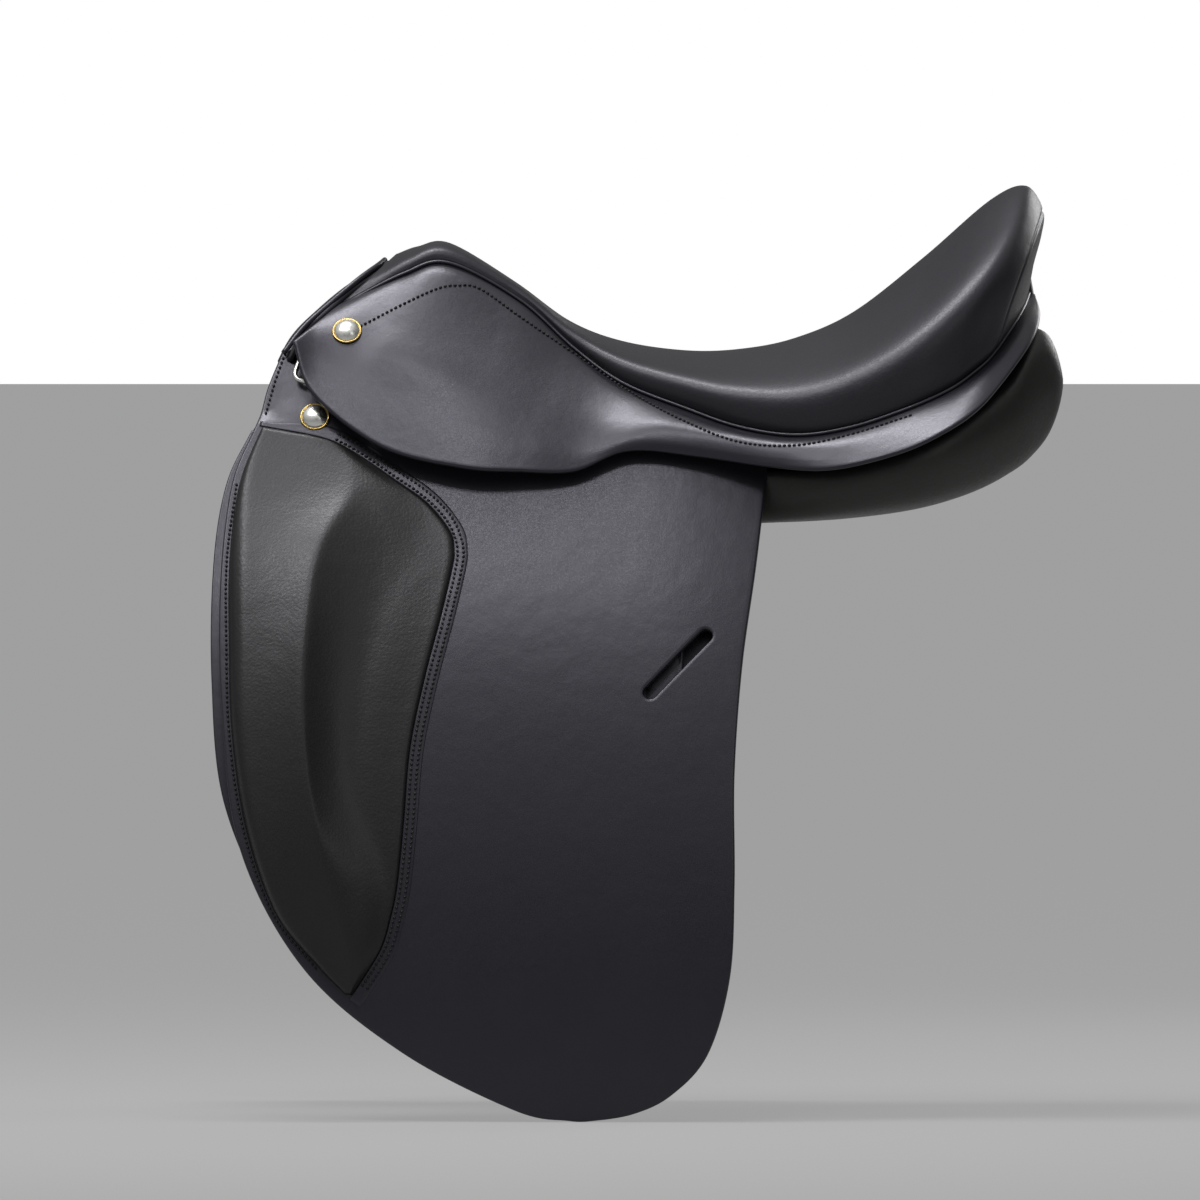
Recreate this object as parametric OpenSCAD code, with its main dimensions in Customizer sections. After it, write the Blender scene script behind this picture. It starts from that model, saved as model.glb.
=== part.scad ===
// Dressage saddle in black leather, built up as a saddler builds it: tree, webs, seat, skirts, flaps,
// knee blocks, panels, girth straps and hardware. Millimetres, +Z up, pommel towards -X, left towards -Y.
// The origin lies under the seat, on the centre plane, level with the underside of the panels.

/* [Seat] */
// Seat size, from the pommel nail to the middle of the cantle
seat_size = 445; // [430:1:460]
// Width of the seat at its widest, between the seams
seat_width = 274; // [258:1:284]
// Thickness of the seat leather
seat_leather = 2.2; // [1.4:0.1:2.8]
// Depth of the seat foam over the tree
foam_depth = 14; // [8:0.5:16]
// Radius of the welt cord in the seam between seat and skirt
welt_radius = 1.7; // [1:0.1:1.8]

/* [Tree] */
// Thickness of the moulded tree
tree_thickness = 9; // [5:0.5:10]
// Width of the opening in the middle of the tree
tree_slot_width = 46; // [30:1:56]
// Thickness of the steel spring strips under the tree
spring_thickness = 2; // [1:0.1:3]
// Thickness of the steel head plate
head_plate_thickness = 3; // [2:0.1:4]
// Thickness of the tree points
point_thickness = 8; // [5:0.5:9]
// Thickness of the webbing stretched over the tree
web_thickness = 1.6; // [1:0.1:2]
// Thickness of the canvas that lines the gullet
lining_thickness = 1.2; // [0.8:0.1:1.6]

/* [Flaps] */
// Distance from the centre plane to the flap, at the origin
half_spread = 138; // [134:1:144]
// Lean of the upper flap from upright, in degrees
flap_lean = 26.5; // [25:0.5:28]
// Turn of the flaps outwards to the rear, seen from above, in degrees
flap_flare = 3; // [2.5:0.5:3.5]
// Radius of the flap's barrel below the fold
flap_radius = 660; // [620:10:720]
// Height of the bottom edge of the flap below the origin
flap_drop = 375; // [355:1:395]
// Thickness of the flap leather
flap_leather = 4.5; // [3.5:0.1:5]
// Thickness of the sweat flap leather
sweat_leather = 3; // [2:0.1:3.5]

/* [Skirts] */
// Thickness of the skirt leather
skirt_leather = 4; // [3:0.1:4.5]

/* [Knee blocks] */
// Height of the knee block at its crest
knee_height = 32; // [24:1:36]
// Thickness of the knee block at its sewn rear edge
knee_edge = 4; // [3:0.5:5]
// Thickness of the soft cover leather on the block
cover_leather = 1.6; // [1:0.1:2]

/* [Panels] */
// Width of the gullet channel between the panels
gullet_width = 70; // [60:1:76]

/* [Hardware] */
// Diameter of the nail heads
nail_diameter = 19; // [15:0.5:20]
// Height of the domed nail head
nail_dome = 4; // [2:0.5:5]
// Diameter of the nail shanks
nail_shank = 3; // [2:0.1:4]
// Length of the nail shanks
nail_shank_length = 12; // [8:0.5:14]
// Length of the stirrup bar
bar_length = 66; // [56:1:70]
// Height of the stirrup bar
bar_height = 10; // [7:0.5:11]
// Thickness of the stirrup bar
bar_thickness = 5; // [4:0.1:5.4]
// Gap behind the stirrup bar for the stirrup leather
bar_gap = 6.5; // [5:0.1:7]
// Length of the safety catch beyond its pin
catch_length = 20; // [14:1:22]
// Radius of the catch pin
catch_pin_radius = 1.5; // [1:0.1:1.8]
// Inside width of the dee
dee_width = 20; // [16:0.5:22]
// Inside height of the dee
dee_height = 18; // [14:0.5:20]
// Radius of the dee's wire
dee_wire = 1.6; // [1.2:0.1:1.8]

/* [Girth straps] */
// Width of a girth strap
billet_width = 26; // [22:1:30]
// Thickness of a girth strap
billet_thickness = 4; // [3:0.1:4.5]
// Length of a girth strap below its seam
billet_length = 370; // [340:1:380]
// Distance of the front strap in front of the origin
front_billet = 78; // [70:1:86]
// Distance of the rear strap behind the origin
rear_billet = 16; // [10:1:20]
// Radius of the punched holes
hole_radius = 2.5; // [2:0.1:3]
// Spacing of the punched holes
hole_pitch = 25; // [20:1:28]
// Number of punched holes in a strap
hole_count = 8; // [6:1:9]

/* [Fits] */
// Clearance between pieces that lie on each other
clear = 0.3; // [0.2:0.05:0.4]
// Radial clearance of a turning pin
pin_play = 0.05; // [0.02:0.01:0.1]

/* [Hidden] */
$fn = 48;

black_leather = [0.10, 0.10, 0.11];
grip_leather = [0.08, 0.08, 0.08];
lining_black = [0.05, 0.05, 0.05];
steel = [0.75, 0.76, 0.78];
brass = [0.78, 0.60, 0.28];
beech = [0.62, 0.46, 0.30];
foam_grey = [0.55, 0.55, 0.52];
web_cream = [0.80, 0.75, 0.62];

// Curves and surfaces

// Point of a smooth curve between p1 and p2, at share t; the values may be numbers, points or rows of points
function blend4(p0, p1, p2, p3, t) =
    0.5 * (2 * p1 + (p2 - p0) * t + (2 * p0 - 5 * p1 + 4 * p2 - p3) * t * t
        + (3 * p1 - p0 - 3 * p2 + p3) * t * t * t);
function control(p, i) =
    i < 0 ? 2 * p[0] - p[1]
    : i >= len(p) ? 2 * p[len(p) - 1] - p[len(p) - 2]
    : p[i];
function curve_at(p, u) =
    let (i = max(0, min(floor(u), len(p) - 2)), t = u - i)
    blend4(control(p, i - 1), p[i], p[i + 1], control(p, i + 2), t);
function curve(p, steps) = [for (k = [0:steps]) curve_at(p, k * (len(p) - 1) / steps)];
function ring_at(p, u) =
    let (n = len(p), i = floor(u) % n, t = u - floor(u))
    blend4(p[(i + n - 1) % n], p[i], p[(i + 1) % n], p[(i + 2) % n], t);
function ring(p, steps) = [for (k = [0:steps - 1]) ring_at(p, k * len(p) / steps)];
// Grid of points on the smooth surface through a net of control points
function surface_grid(net, rows, columns) = [for (row = curve(net, rows)) curve(row, columns)];

function mix(a, b, t) = a + (b - a) * t;
function unit(v) = v / norm(v);
function mirrored(p) = [p[0], -p[1], p[2]];
function smooth(t) = let (s = max(0, min(1, t))) s * s * (3 - 2 * s);

function grid_normal(g, i, j) =
    let (r = len(g) - 1, c = len(g[0]) - 1)
    unit(cross(g[min(i + 1, r)][j] - g[max(i - 1, 0)][j], g[i][min(j + 1, c)] - g[i][max(j - 1, 0)]));
function offset_grid(g, d) =
    [for (i = [0:len(g) - 1]) [for (j = [0:len(g[0]) - 1]) g[i][j] + d * grid_normal(g, i, j)]];

// Closed solid between two grids of the same size
module shell(a, b) {
    rows = len(a);
    columns = len(a[0]);
    count = rows * columns;
    function at(i, j) = i * columns + j;
    function quad(p, q, r, s) = [[p, q, r], [p, r, s]];
    top = [for (i = [0:rows - 2], j = [0:columns - 2])
        each quad(at(i, j), at(i + 1, j), at(i + 1, j + 1), at(i, j + 1))];
    bottom = [for (f = top) [f[2] + count, f[1] + count, f[0] + count]];
    border = concat(
        [for (j = [0:columns - 2]) at(0, j)],
        [for (i = [0:rows - 2]) at(i, columns - 1)],
        [for (j = [columns - 1:-1:1]) at(rows - 1, j)],
        [for (i = [rows - 1:-1:1]) at(i, 0)]);
    rim = [for (k = [0:len(border) - 1])
        let (p = border[k], q = border[(k + 1) % len(border)])
        each quad(p, q, q + count, p + count)];
    polyhedron([for (row = concat(a, b)) each row], concat(top, bottom, rim), convexity = 8);
}

// Closed solid through a row of rings with the same number of points
module loft(rings) {
    last = len(rings) - 1;
    sides = len(rings[0]);
    function at(i, j) = i * sides + j % sides;
    skin = [for (i = [0:last - 1], j = [0:sides - 1])
        each [[at(i, j), at(i, j + 1), at(i + 1, j + 1)], [at(i, j), at(i + 1, j + 1), at(i + 1, j)]]];
    middle = [for (r = [rings[0], rings[last]]) [for (p = r) 1] * r / sides];
    centre = (last + 1) * sides;
    caps = [for (j = [0:sides - 1])
        each [[centre, at(0, j + 1), at(0, j)], [centre + 1, at(last, j), at(last, j + 1)]]];
    polyhedron(concat([for (r = rings) each r], middle), concat(skin, caps), convexity = 8);
}

// Round tube along a row of points
module cord(path, radius, sides) {
    last = len(path) - 1;
    loft([for (i = [0:last])
        let (t = unit(path[min(i + 1, last)] - path[max(i - 1, 0)]))
        let (u = unit(cross(t, [0, 0, 1])), v = cross(t, u))
        [for (k = [0:sides - 1]) path[i] + radius * (u * cos(360 * k / sides) + v * sin(360 * k / sides))]]);
}

module right_of() { mirror([0, 1, 0]) children(); }

// The side of the saddle: a leaning plane that turns into a barrel below the fold

bend_z = -24;
function lean_at(z) = z >= bend_z ? flap_lean : asin(sin(flap_lean) - (bend_z - z) / flap_radius);
function outset(z) =
    z >= bend_z ? -tan(flap_lean) * z
    : -tan(flap_lean) * bend_z + flap_radius * (cos(lean_at(z)) - cos(flap_lean));
// Point on the outer face of the left flap at x and z, moved out along its normal
function side_at(x, z, out = 0) =
    let (a = lean_at(z))
    [x - out * cos(a) * sin(flap_flare),
        -(half_spread + tan(flap_flare) * x + outset(z) / cos(flap_flare)) - out * cos(a) * cos(flap_flare),
        z + out * sin(a)];
// Moves its children onto the plane: X to the rear, Y up the plane, Z outwards
module on_side(x, z) { translate(side_at(x, z)) rotate([90 - flap_lean, 0, -flap_flare]) children(); }

// Depths below the outer face of the flap
bar_plate = 3.5;
strap_room = 3.5;
point_out = -flap_leather - clear - bar_plate - clear;
web_out = -flap_leather - 2 * clear - billet_thickness - strap_room;
sweat_out = web_out - web_thickness - clear;

// Sizes at which the tables of points below are drawn
drawn_size = 445;
drawn_width = 274;
drawn_drop = 375;
drawn_knee = 32;

// A size step, spread over the rear of the seat so that the seat grows behind the twist
twist_x = -40;
cantle_x = 250;
widening_length = 140;
widening_edge = 60;
flap_reach = 300;
seat_growth = seat_size - drawn_size;
function sx(x) = x + seat_growth * smooth((x - twist_x) / (cantle_x - twist_x));
width_growth = (seat_width - drawn_width) / 2;
function sy(x, y) =
    y + width_growth * smooth((x - twist_x) / widening_length) * min(1, y / widening_edge);
flap_growth = flap_drop - drawn_drop;
function fz(z) = z - flap_growth * smooth((bend_z - z) / flap_reach);

// Seat

// Rows from the pommel to the cantle: seam point, then the crown on the centre plane as [x, z],
// then the shoulder and the mid point as shares of the seam's half width and of the crown's height
seat_rows = [
    [[-191, 56, 145], [-157, 176], [0.88, 0.50, 0.52, 0.88]],
    [[-152, 53, 162], [-143, 181], [0.88, 0.52, 0.52, 0.90]],
    [[-123, 51, 170], [-122, 183], [0.88, 0.55, 0.52, 0.90]],
    [[-77, 54, 148], [-80, 158], [0.90, 0.55, 0.55, 0.90]],
    [[-42, 66, 117], [-45, 133], [0.92, 0.55, 0.58, 0.88]],
    [[-11, 82, 95], [-11, 120], [0.95, 0.52, 0.60, 0.84]],
    [[29, 99, 79], [30, 114], [0.97, 0.50, 0.62, 0.80]],
    [[64, 114, 67], [65, 115], [0.98, 0.48, 0.62, 0.78]],
    [[100, 127, 62], [100, 122], [0.98, 0.46, 0.62, 0.76]],
    [[135, 135, 67], [138, 139], [0.98, 0.46, 0.62, 0.74]],
    [[171, 137, 77], [183, 174], [0.97, 0.46, 0.60, 0.74]],
    [[198, 130, 88], [226, 211], [0.94, 0.48, 0.57, 0.78]],
    [[214, 120, 99], [249, 220], [0.90, 0.50, 0.54, 0.82]],
    [[226, 107, 110], [260, 204], [0.86, 0.52, 0.50, 0.86]],
    [[239, 82, 129], [259, 189], [0.84, 0.54, 0.48, 0.88]],
    [[247, 52, 144], [255, 176], [0.84, 0.56, 0.48, 0.90]],
    [[251, 12, 153], [252, 160], [0.84, 0.56, 0.48, 0.90]]];
cantle_row = 13;
// Way down from the seat surface to the tree, row by row, as shares along x and z
drop_rows = concat([for (k = [0:10]) [0, -1]],
    [[-0.25, -0.95], [-0.55, -0.8], [-1, -0.3], [-1, 0], [-1, 0], [-1, 0]]);

function seam_point(k) = let (s = seat_rows[k][0]) [sx(s[0]), -sy(s[0], s[1]), s[2]];
function crown_point(k) = let (c = seat_rows[k][1]) [sx(c[0]), 0, c[1]];
function seat_point(s, c, wide, high) = [mix(s[0], c[0], high), s[1] * wide, mix(s[2], c[2], high)];
function half_row(k) =
    let (s = seam_point(k), c = crown_point(k), f = seat_rows[k][2])
    [s, seat_point(s, c, f[0], f[1]), seat_point(s, c, f[2], f[3]), c];
function full_row(half) = concat(half, [for (j = [len(half) - 2:-1:0]) mirrored(half[j])]);
seat_net = [for (k = [0:len(seat_rows) - 1]) full_row(half_row(k))];
// The seat's net sunk by a depth, drawn in towards the centre plane
draw_in = 0.8;
most_drawn = 0.5;
function sunk(p, k, depth) =
    [p[0] + drop_rows[k][0] * depth, p[1] * (1 - min(most_drawn, draw_in * depth / -seam_point(k)[1])),
        p[2] + drop_rows[k][1] * depth];
function sunk_net(depth) =
    [for (k = [0:len(seat_net) - 1]) [for (p = seat_net[k]) sunk(p, k, depth)]];
function part_of(grid, r0, r1, c0, c1) = [for (i = [r0:r1]) [for (j = [c0:c1]) grid[i][j]]];

row_steps = 32;
column_steps = 12;
cantle_step = cantle_row * row_steps / (len(seat_rows) - 1);
seat_grid = surface_grid(seat_net, row_steps, column_steps);
cover_inside = offset_grid(seat_grid, -seat_leather);

module seat_cover() {
    color(black_leather)
        shell(part_of(seat_grid, 0, cantle_step, 0, column_steps),
            part_of(cover_inside, 0, cantle_step, 0, column_steps));
}

module cantle_facing() {
    color(black_leather)
        shell(part_of(seat_grid, cantle_step, row_steps, 0, column_steps),
            part_of(cover_inside, cantle_step, row_steps, 0, column_steps));
}

// Depths under the seat surface, from the leather down to the gullet
foam_top = seat_leather + clear;
web_top = foam_top + foam_depth + clear;
tree_top = web_top + web_thickness + clear;
tree_bottom = tree_top + tree_thickness;
spring_top = tree_bottom + clear;
lining_top = spring_top + spring_thickness + clear;

function layer(depth) = surface_grid(sunk_net(depth), row_steps, column_steps);

module seat_foam() {
    color(foam_grey)
        shell(offset_grid(seat_grid, -foam_top),
            layer(foam_top + foam_depth));
}

// Webbing from head to cantle, over the opening of the tree
web_rows = [4, 22];
web_columns = [3, 9];
// Strip of a layer between two depths, over some rows and columns of the seat's grid
module seat_strip(top, bottom, rows, columns) {
    shell(part_of(layer(top), rows[0], rows[1], columns[0], columns[1]),
        part_of(layer(bottom), rows[0], rows[1], columns[0], columns[1]));
}

module seat_web() {
    color(web_cream) seat_strip(web_top, web_top + web_thickness, web_rows, web_columns);
}

tree_slot = [-70, 130];
tree_slot_height = 300;
module tree() {
    color(beech)
        difference() {
            shell(layer(tree_top), layer(tree_bottom));
            hull() for (x = tree_slot)
                translate([sx(x), 0, 0]) cylinder(h = tree_slot_height, d = tree_slot_width, $fn = 24);
        }
}

// Steel strips under the two bars of the tree
spring_rows = [5, 22];
left_columns = [2, 3];
right_columns = [column_steps - 3, column_steps - 2];
module spring(columns) {
    color(steel) seat_strip(spring_top, spring_top + spring_thickness, spring_rows, columns);
}

lining_rows = [4, 26];
module gullet_lining() {
    color(lining_black) seat_strip(lining_top, lining_top + lining_thickness, lining_rows, web_columns);
}

// Skirts

// Rows as the seat's: lower edge point with its distance from the centre plane, then the outward bulge
skirt_rows = [
    [[-219, 87, 118], 1],
    [[-210, 105, 87], 4],
    [[-166, 124, 53], 7],
    [[-115, 135, 37], 8],
    [[-77, 136, 33], 8],
    [[-45, 134, 33], 7],
    [[0, 130, 49], 4],
    [[38, 131, 46], 4],
    [[83, 132, 40], 4],
    [[122, 140, 39], 4],
    [[166, 144, 50], 3],
    [[196, 140, 64], 3],
    [[217, 130, 78], 3],
    [[233, 113, 95], 3],
    [[252, 84, 121], 2],
    [[258, 53, 137], 2],
    [[261, 13, 146], 2]];
lip_rows = 6;
lip_clear = 1;
lift_share = 0.4;
seam_gap = 0.9;
skirt_step = 1.2;
skirt_drop = 2 * (welt_radius + seam_gap);
function skirt_edge(k) = let (e = skirt_rows[k][0]) [sx(e[0]), -sy(e[0], e[1]), e[2]];
function skirt_top(k) = seam_point(k) + [0, -skirt_step, -skirt_drop];
// The straight line that the lip of the skirt lifts about, from the front corner to the notch
lift_line = [skirt_edge(0), skirt_edge(lip_rows)];
function on_lift_line(x) =
    mix(lift_line[0], lift_line[1], (x - lift_line[0][0]) / (lift_line[1][0] - lift_line[0][0]));
function fold_point(k) =
    k == 0 ? lift_line[0]
    : k < lip_rows ? on_lift_line(mix(skirt_edge(k)[0], skirt_top(k)[0], lift_share))
    : skirt_edge(k);
outward = unit([0, -1, 0.5]);
function bulged(a, b, share, k, amount) = mix(a, b, share) + outward * skirt_rows[k][1] * amount;
function upper_row(k) =
    let (s = skirt_top(k), f = fold_point(k))
    [s, bulged(s, f, 0.35, k, 0.8), bulged(s, f, 0.7, k, 0.8), f];
function lip_way(k) = k == 0 || k == lip_rows ? [0, 0, -1] : unit(skirt_edge(k) - fold_point(k));
function lower_row(k) =
    let (e = skirt_edge(k), f = fold_point(k) + lip_clear * lip_way(k))
    [f, bulged(f, e, 0.5, k, 0.7), e];
skirt_net = [for (k = [0:len(skirt_rows) - 1]) upper_row(k)];
lip_net = [for (k = [0:lip_rows]) lower_row(k)];
skirt_columns = 6;
lip_steps = 16;
lip_columns = 4;
skirt_grid = surface_grid(skirt_net, row_steps, skirt_columns);
// The lip's grid without its two ends, where it has no width
lip_grid = part_of(surface_grid(lip_net, lip_steps, lip_columns), 1, lip_steps - 1, 0, lip_columns);

module left_skirt() {
    color(black_leather) shell(offset_grid(skirt_grid, skirt_leather), skirt_grid);
}

module left_skirt_lip() {
    color(black_leather) shell(offset_grid(lip_grid, skirt_leather), lip_grid);
}

welt_steps = 40;
module left_welt() {
    seam = [for (k = [0:len(seat_rows) - 1]) seam_point(k) + [0, -seam_gap, -welt_radius - seam_gap]];
    color(black_leather) cord(curve(seam, welt_steps), welt_radius, 6);
}

// Flaps

fold_front = [-246, 68];
fold_rear = [74, -20];
function fold_z(x) = mix(fold_front[1], fold_rear[1], (x - fold_front[0]) / (fold_rear[0] - fold_front[0]));

flap_front_edge = [fold_front, [-262, 28], [-269, -40], [-267, -120], [-255, -205], [-214.5, -280],
    [-152, -333], [-80, -370], [-46, -376.5]];
flap_rear_edge = [fold_rear, [65, -85], [60, -155], [60, -225], [57, -285], [43, -334], [20, -360],
    [-4, -372], [-30, -376.5]];
function edge_rows(edge, steps) = [for (p = curve(edge, steps)) [p[0], fz(p[1])]];
// Grid of points across a sheet that lies between a front and a rear edge, at a depth out of the flap's face
function side_sheet(front, rear, columns, out) =
    [for (i = [0:len(front) - 1]) [for (j = [0:columns])
        let (p = mix(front[i], rear[i], j / columns)) side_at(p[0], p[1], out)]];

flap_steps = 24;
flap_columns = 8;
module left_flap() {
    front = edge_rows(flap_front_edge, flap_steps);
    rear = edge_rows(flap_rear_edge, flap_steps);
    color(black_leather)
        difference() {
            shell(side_sheet(front, rear, flap_columns, 0),
                side_sheet(front, rear, flap_columns, -flap_leather));
            keeper_slot();
        }
}

// Slot in the flap that keeps the end of the stirrup leather
keeper_centre = [24, -85];
keeper_length = 62;
keeper_width = 9;
keeper_angle = 48;
module keeper_slot() {
    translate(side_at(keeper_centre[0], keeper_centre[1]))
        rotate([90 - lean_at(keeper_centre[1]), 0, -flap_flare]) rotate([0, 0, keeper_angle])
            translate([0, 0, -2 * flap_leather])
                linear_extrude(3 * flap_leather) hull() for (s = [-1, 1])
                    translate([s * (keeper_length - keeper_width) / 2, 0]) circle(d = keeper_width, $fn = 24);
}

// Fixed top of the flap, under the skirt and around the lower nail
head_top = [[-229, 117], [-190, 112], [-150, 106], [-110, 94], [-60, 74], [-28, 62], [12, 60], [82, 46]];
head_rows = 3;
head_columns = 14;
module left_flap_head() {
    top = curve(head_top, head_columns);
    length = head_top[len(head_top) - 1][0] - head_top[0][0];
    bottom = [for (p = top)
        let (x = mix(fold_front[0], fold_rear[0], (p[0] - head_top[0][0]) / length))
        [x, fold_z(x) + clear]];
    function sheet(out) =
        [for (r = [0:head_rows]) [for (i = [0:head_columns])
            let (p = mix(top[i], bottom[i], r / head_rows)) side_at(p[0], p[1], out)]];
    color(black_leather)
        difference() {
            shell(sheet(0), sheet(-flap_leather));
            on_side(bar_x, bar_z) bar_stem(stem_room);
        }
}

// Sweat flap, between the girth straps and the horse
sweat_front_edge = [[-250, 70], [-266, 36], [-274, -14], [-275, -90], [-267, -170], [-236, -240],
    [-190, -290], [-150, -310]];
sweat_rear_edge = [[40, -8], [38, -60], [36, -120], [32, -180], [22, -230], [-2, -272], [-45, -302],
    [-95, -314]];
sweat_steps = 16;
sweat_columns = 6;
module left_sweat_flap() {
    front = edge_rows(sweat_front_edge, sweat_steps);
    rear = edge_rows(sweat_rear_edge, sweat_steps);
    color(black_leather)
        shell(side_sheet(front, rear, sweat_columns, sweat_out),
            side_sheet(front, rear, sweat_columns, sweat_out - sweat_leather));
}

// Knee blocks

knee_front_edge = [[-243, 63], [-257, 28], [-263, -20], [-263, -75], [-261, -130], [-252, -190],
    [-233, -244], [-206, -278], [-188, -296]];
knee_rear_edge = [[-186, 47], [-138, 20], [-120, -8], [-124, -45], [-139, -100], [-149, -170],
    [-155, -225], [-165, -264], [-183, -297]];
// Height of the crest, from the top of the block to its tip
knee_crest = [3, 14, 28, 32, 32, 30, 18, 8, 4] * knee_height / drawn_knee;
// Place of the crest, as a share of the width from front to rear
crest_place = [0.50, 0.48, 0.38, 0.35, 0.36, 0.42, 0.48, 0.50, 0.50];
function knee_profile(s, crest, place) =
    let (front = mix(0.45, 1, smooth(s / place)),
        rear = pow(max(0, 1 - (s - place) / 0.55), 2),
        edge = mix(0.75, 1, smooth(s / 0.1)))
    knee_edge * edge + max(0, crest - knee_edge) * smooth(0.3 + s / 0.1) * (s < place ? front : rear);
knee_steps = 18;
knee_columns = 12;
// Grid over the knee block: share 1 lies a depth under its outer face, share 0 on the flap
function knee_grid(depth, share) =
    let (front = edge_rows(knee_front_edge, knee_steps), rear = edge_rows(knee_rear_edge, knee_steps),
        crest = curve(knee_crest, knee_steps), place = curve(crest_place, knee_steps))
    [for (i = [0:knee_steps]) [for (j = [0:knee_columns])
        let (s = j / knee_columns, p = mix(front[i], rear[i], s))
        side_at(p[0], p[1], clear + share * (knee_profile(s, crest[i], place[i]) - depth))]];

module left_knee_block() {
    color(foam_grey) shell(knee_grid(cover_leather + clear, 1), knee_grid(0, 0));
}

module left_knee_cover() {
    color(grip_leather) shell(knee_grid(0, 1), knee_grid(cover_leather, 1));
}

// Panels

// Rings from the front to the rear: place along x, then points as [distance from the gullet wall, z],
// from the gullet wall down and round the outside to the top
panel_rings = [
    [-226, [[14, 62], [28, 48], [38, 42], [40, 54], [33, 72], [25, 82], [18, 84], [13, 74]]],
    [-200, [[8, 74], [28, 42], [52, 20], [57, 28], [41, 60], [26, 88], [12, 100], [5, 90]]],
    [-150, [[4, 74], [32, 37], [59, 12], [63, 22], [45, 58], [27, 90], [9, 106], [2, 92]]],
    [-80, [[2, 66], [36, 27], [66, 5], [70, 15], [55, 46], [37, 72], [9, 90], [0, 78]]],
    [0, [[2, 46], [40, 14], [70, 1], [74, 12], [63, 36], [42, 52], [10, 68], [0, 58]]],
    [70, [[2, 36], [44, 9], [72, 4], [80, 18], [78, 37], [62, 32], [10, 58], [0, 48]]],
    [130, [[2, 36], [46, 9], [80, 9], [96, 24], [93, 40], [72, 31], [10, 63], [0, 50]]],
    [190, [[2, 48], [44, 18], [74, 20], [94, 40], [91, 58], [72, 50], [10, 84], [0, 68]]],
    [235, [[3, 72], [30, 37], [54, 39], [69, 64], [62, 91], [34, 100], [10, 106], [0, 90]]],
    [250, [[4, 86], [24, 48], [44, 50], [56, 76], [50, 104], [28, 117], [10, 116], [2, 100]]],
    [262, [[6, 94], [19, 63], [33, 62], [42, 86], [36, 112], [22, 124], [10, 121], [4, 108]]],
    [271, [[16, 91], [21, 85], [26, 85], [28, 91], [27, 98], [22, 102], [17, 100], [15, 96]]]];
// The front rings lean forwards at the foot, more and more ahead of one ring
panel_lean = 0.55;
lean_from = -80;
lean_length = 120;
lean_level = 62;
panel_steps = 26;
panel_sides = 14;
function panel_point(x, p) =
    let (lean = panel_lean * smooth((lean_from - x) / lean_length))
    [sx(x) + lean * (p[1] - lean_level), -(gullet_width / 2 + p[0]), p[1]];
module left_panel() {
    rings = curve([for (r = panel_rings) [for (p = r[1]) panel_point(r[0], p)]], panel_steps);
    color(grip_leather) loft([for (r = rings) ring(r, panel_sides)]);
}

// Front arch

facing_path = [[-230, 57, 102], [-219.5, 51, 121.3], [-203.5, 44, 137.3], [-187, 34, 151], [-171, 18, 161],
    [-166, 0, 165]];
facing_half = [5, 9];
facing_steps = 20;
facing_sides = 8;
// Way that the roll faces, forwards and up
facing_way = [-0.62, 0, 0.78];
module pommel_facing() {
    path = curve(full_row([for (p = facing_path) mirrored(p)]), facing_steps);
    function section(i) =
        let (t = unit(path[min(i + 1, facing_steps)] - path[max(i - 1, 0)]))
        let (a = unit(facing_way - t * (facing_way * t)), b = cross(t, a))
        [for (k = [0:facing_sides - 1])
            let (turn = 360 * k / facing_sides)
            path[i] + a * facing_half[0] * cos(turn) + b * facing_half[1] * sin(turn)];
    color(black_leather) loft([for (i = [0:facing_steps]) section(i)]);
}

point_outline = [[-219, 118], [-223, 90], [-216, 66], [-192, 66], [-180, 54], [-92, 54], [-92, 76],
    [-130, 112], [-160, 128], [-205, 128]];
module left_tree_point() {
    color(beech)
        shell_between([for (p = point_outline) side_at(p[0], p[1], point_out)],
            [for (p = point_outline) side_at(p[0], p[1], point_out - point_thickness)]);
}

// Flat plate between two outlines of the same number of points
module shell_between(a, b) {
    n = len(a);
    polyhedron(concat(a, b),
        concat([[for (k = [0:n - 1]) k]], [[for (k = [n - 1:-1:0]) k + n]],
            [for (k = [0:n - 1]) [(k + 1) % n, k, k + n, (k + 1) % n + n]]), convexity = 4);
}

// Stirrup bars

bar_x = -140;
bar_z = 60;
bar_plate_height = 22;
plate_margin = 3;
stem_length = 11;
stem_room = 1;
stem_root = 1;
pin_inset = 5;
// Extra depth of a cutting tool past the face that it cuts
past = 1;
bar_out = bar_gap;
bar_front = -bar_length / 2;
pin_x = bar_length / 2 - pin_inset;
catch_thickness = 2;
catch_room = 2;
catch_step = 1;
catch_slot = catch_thickness + 2 * clear;
// Post that carries the bar, from its root in the plate; extra gives the room cut around it
module bar_stem(extra) {
    root = flap_leather + clear + stem_root;
    translate([bar_front - extra, -bar_height / 2 - extra, -root])
        cube([stem_length + 2 * extra, bar_height + 2 * extra, root + bar_out + bar_thickness / 2]);
}

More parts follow.
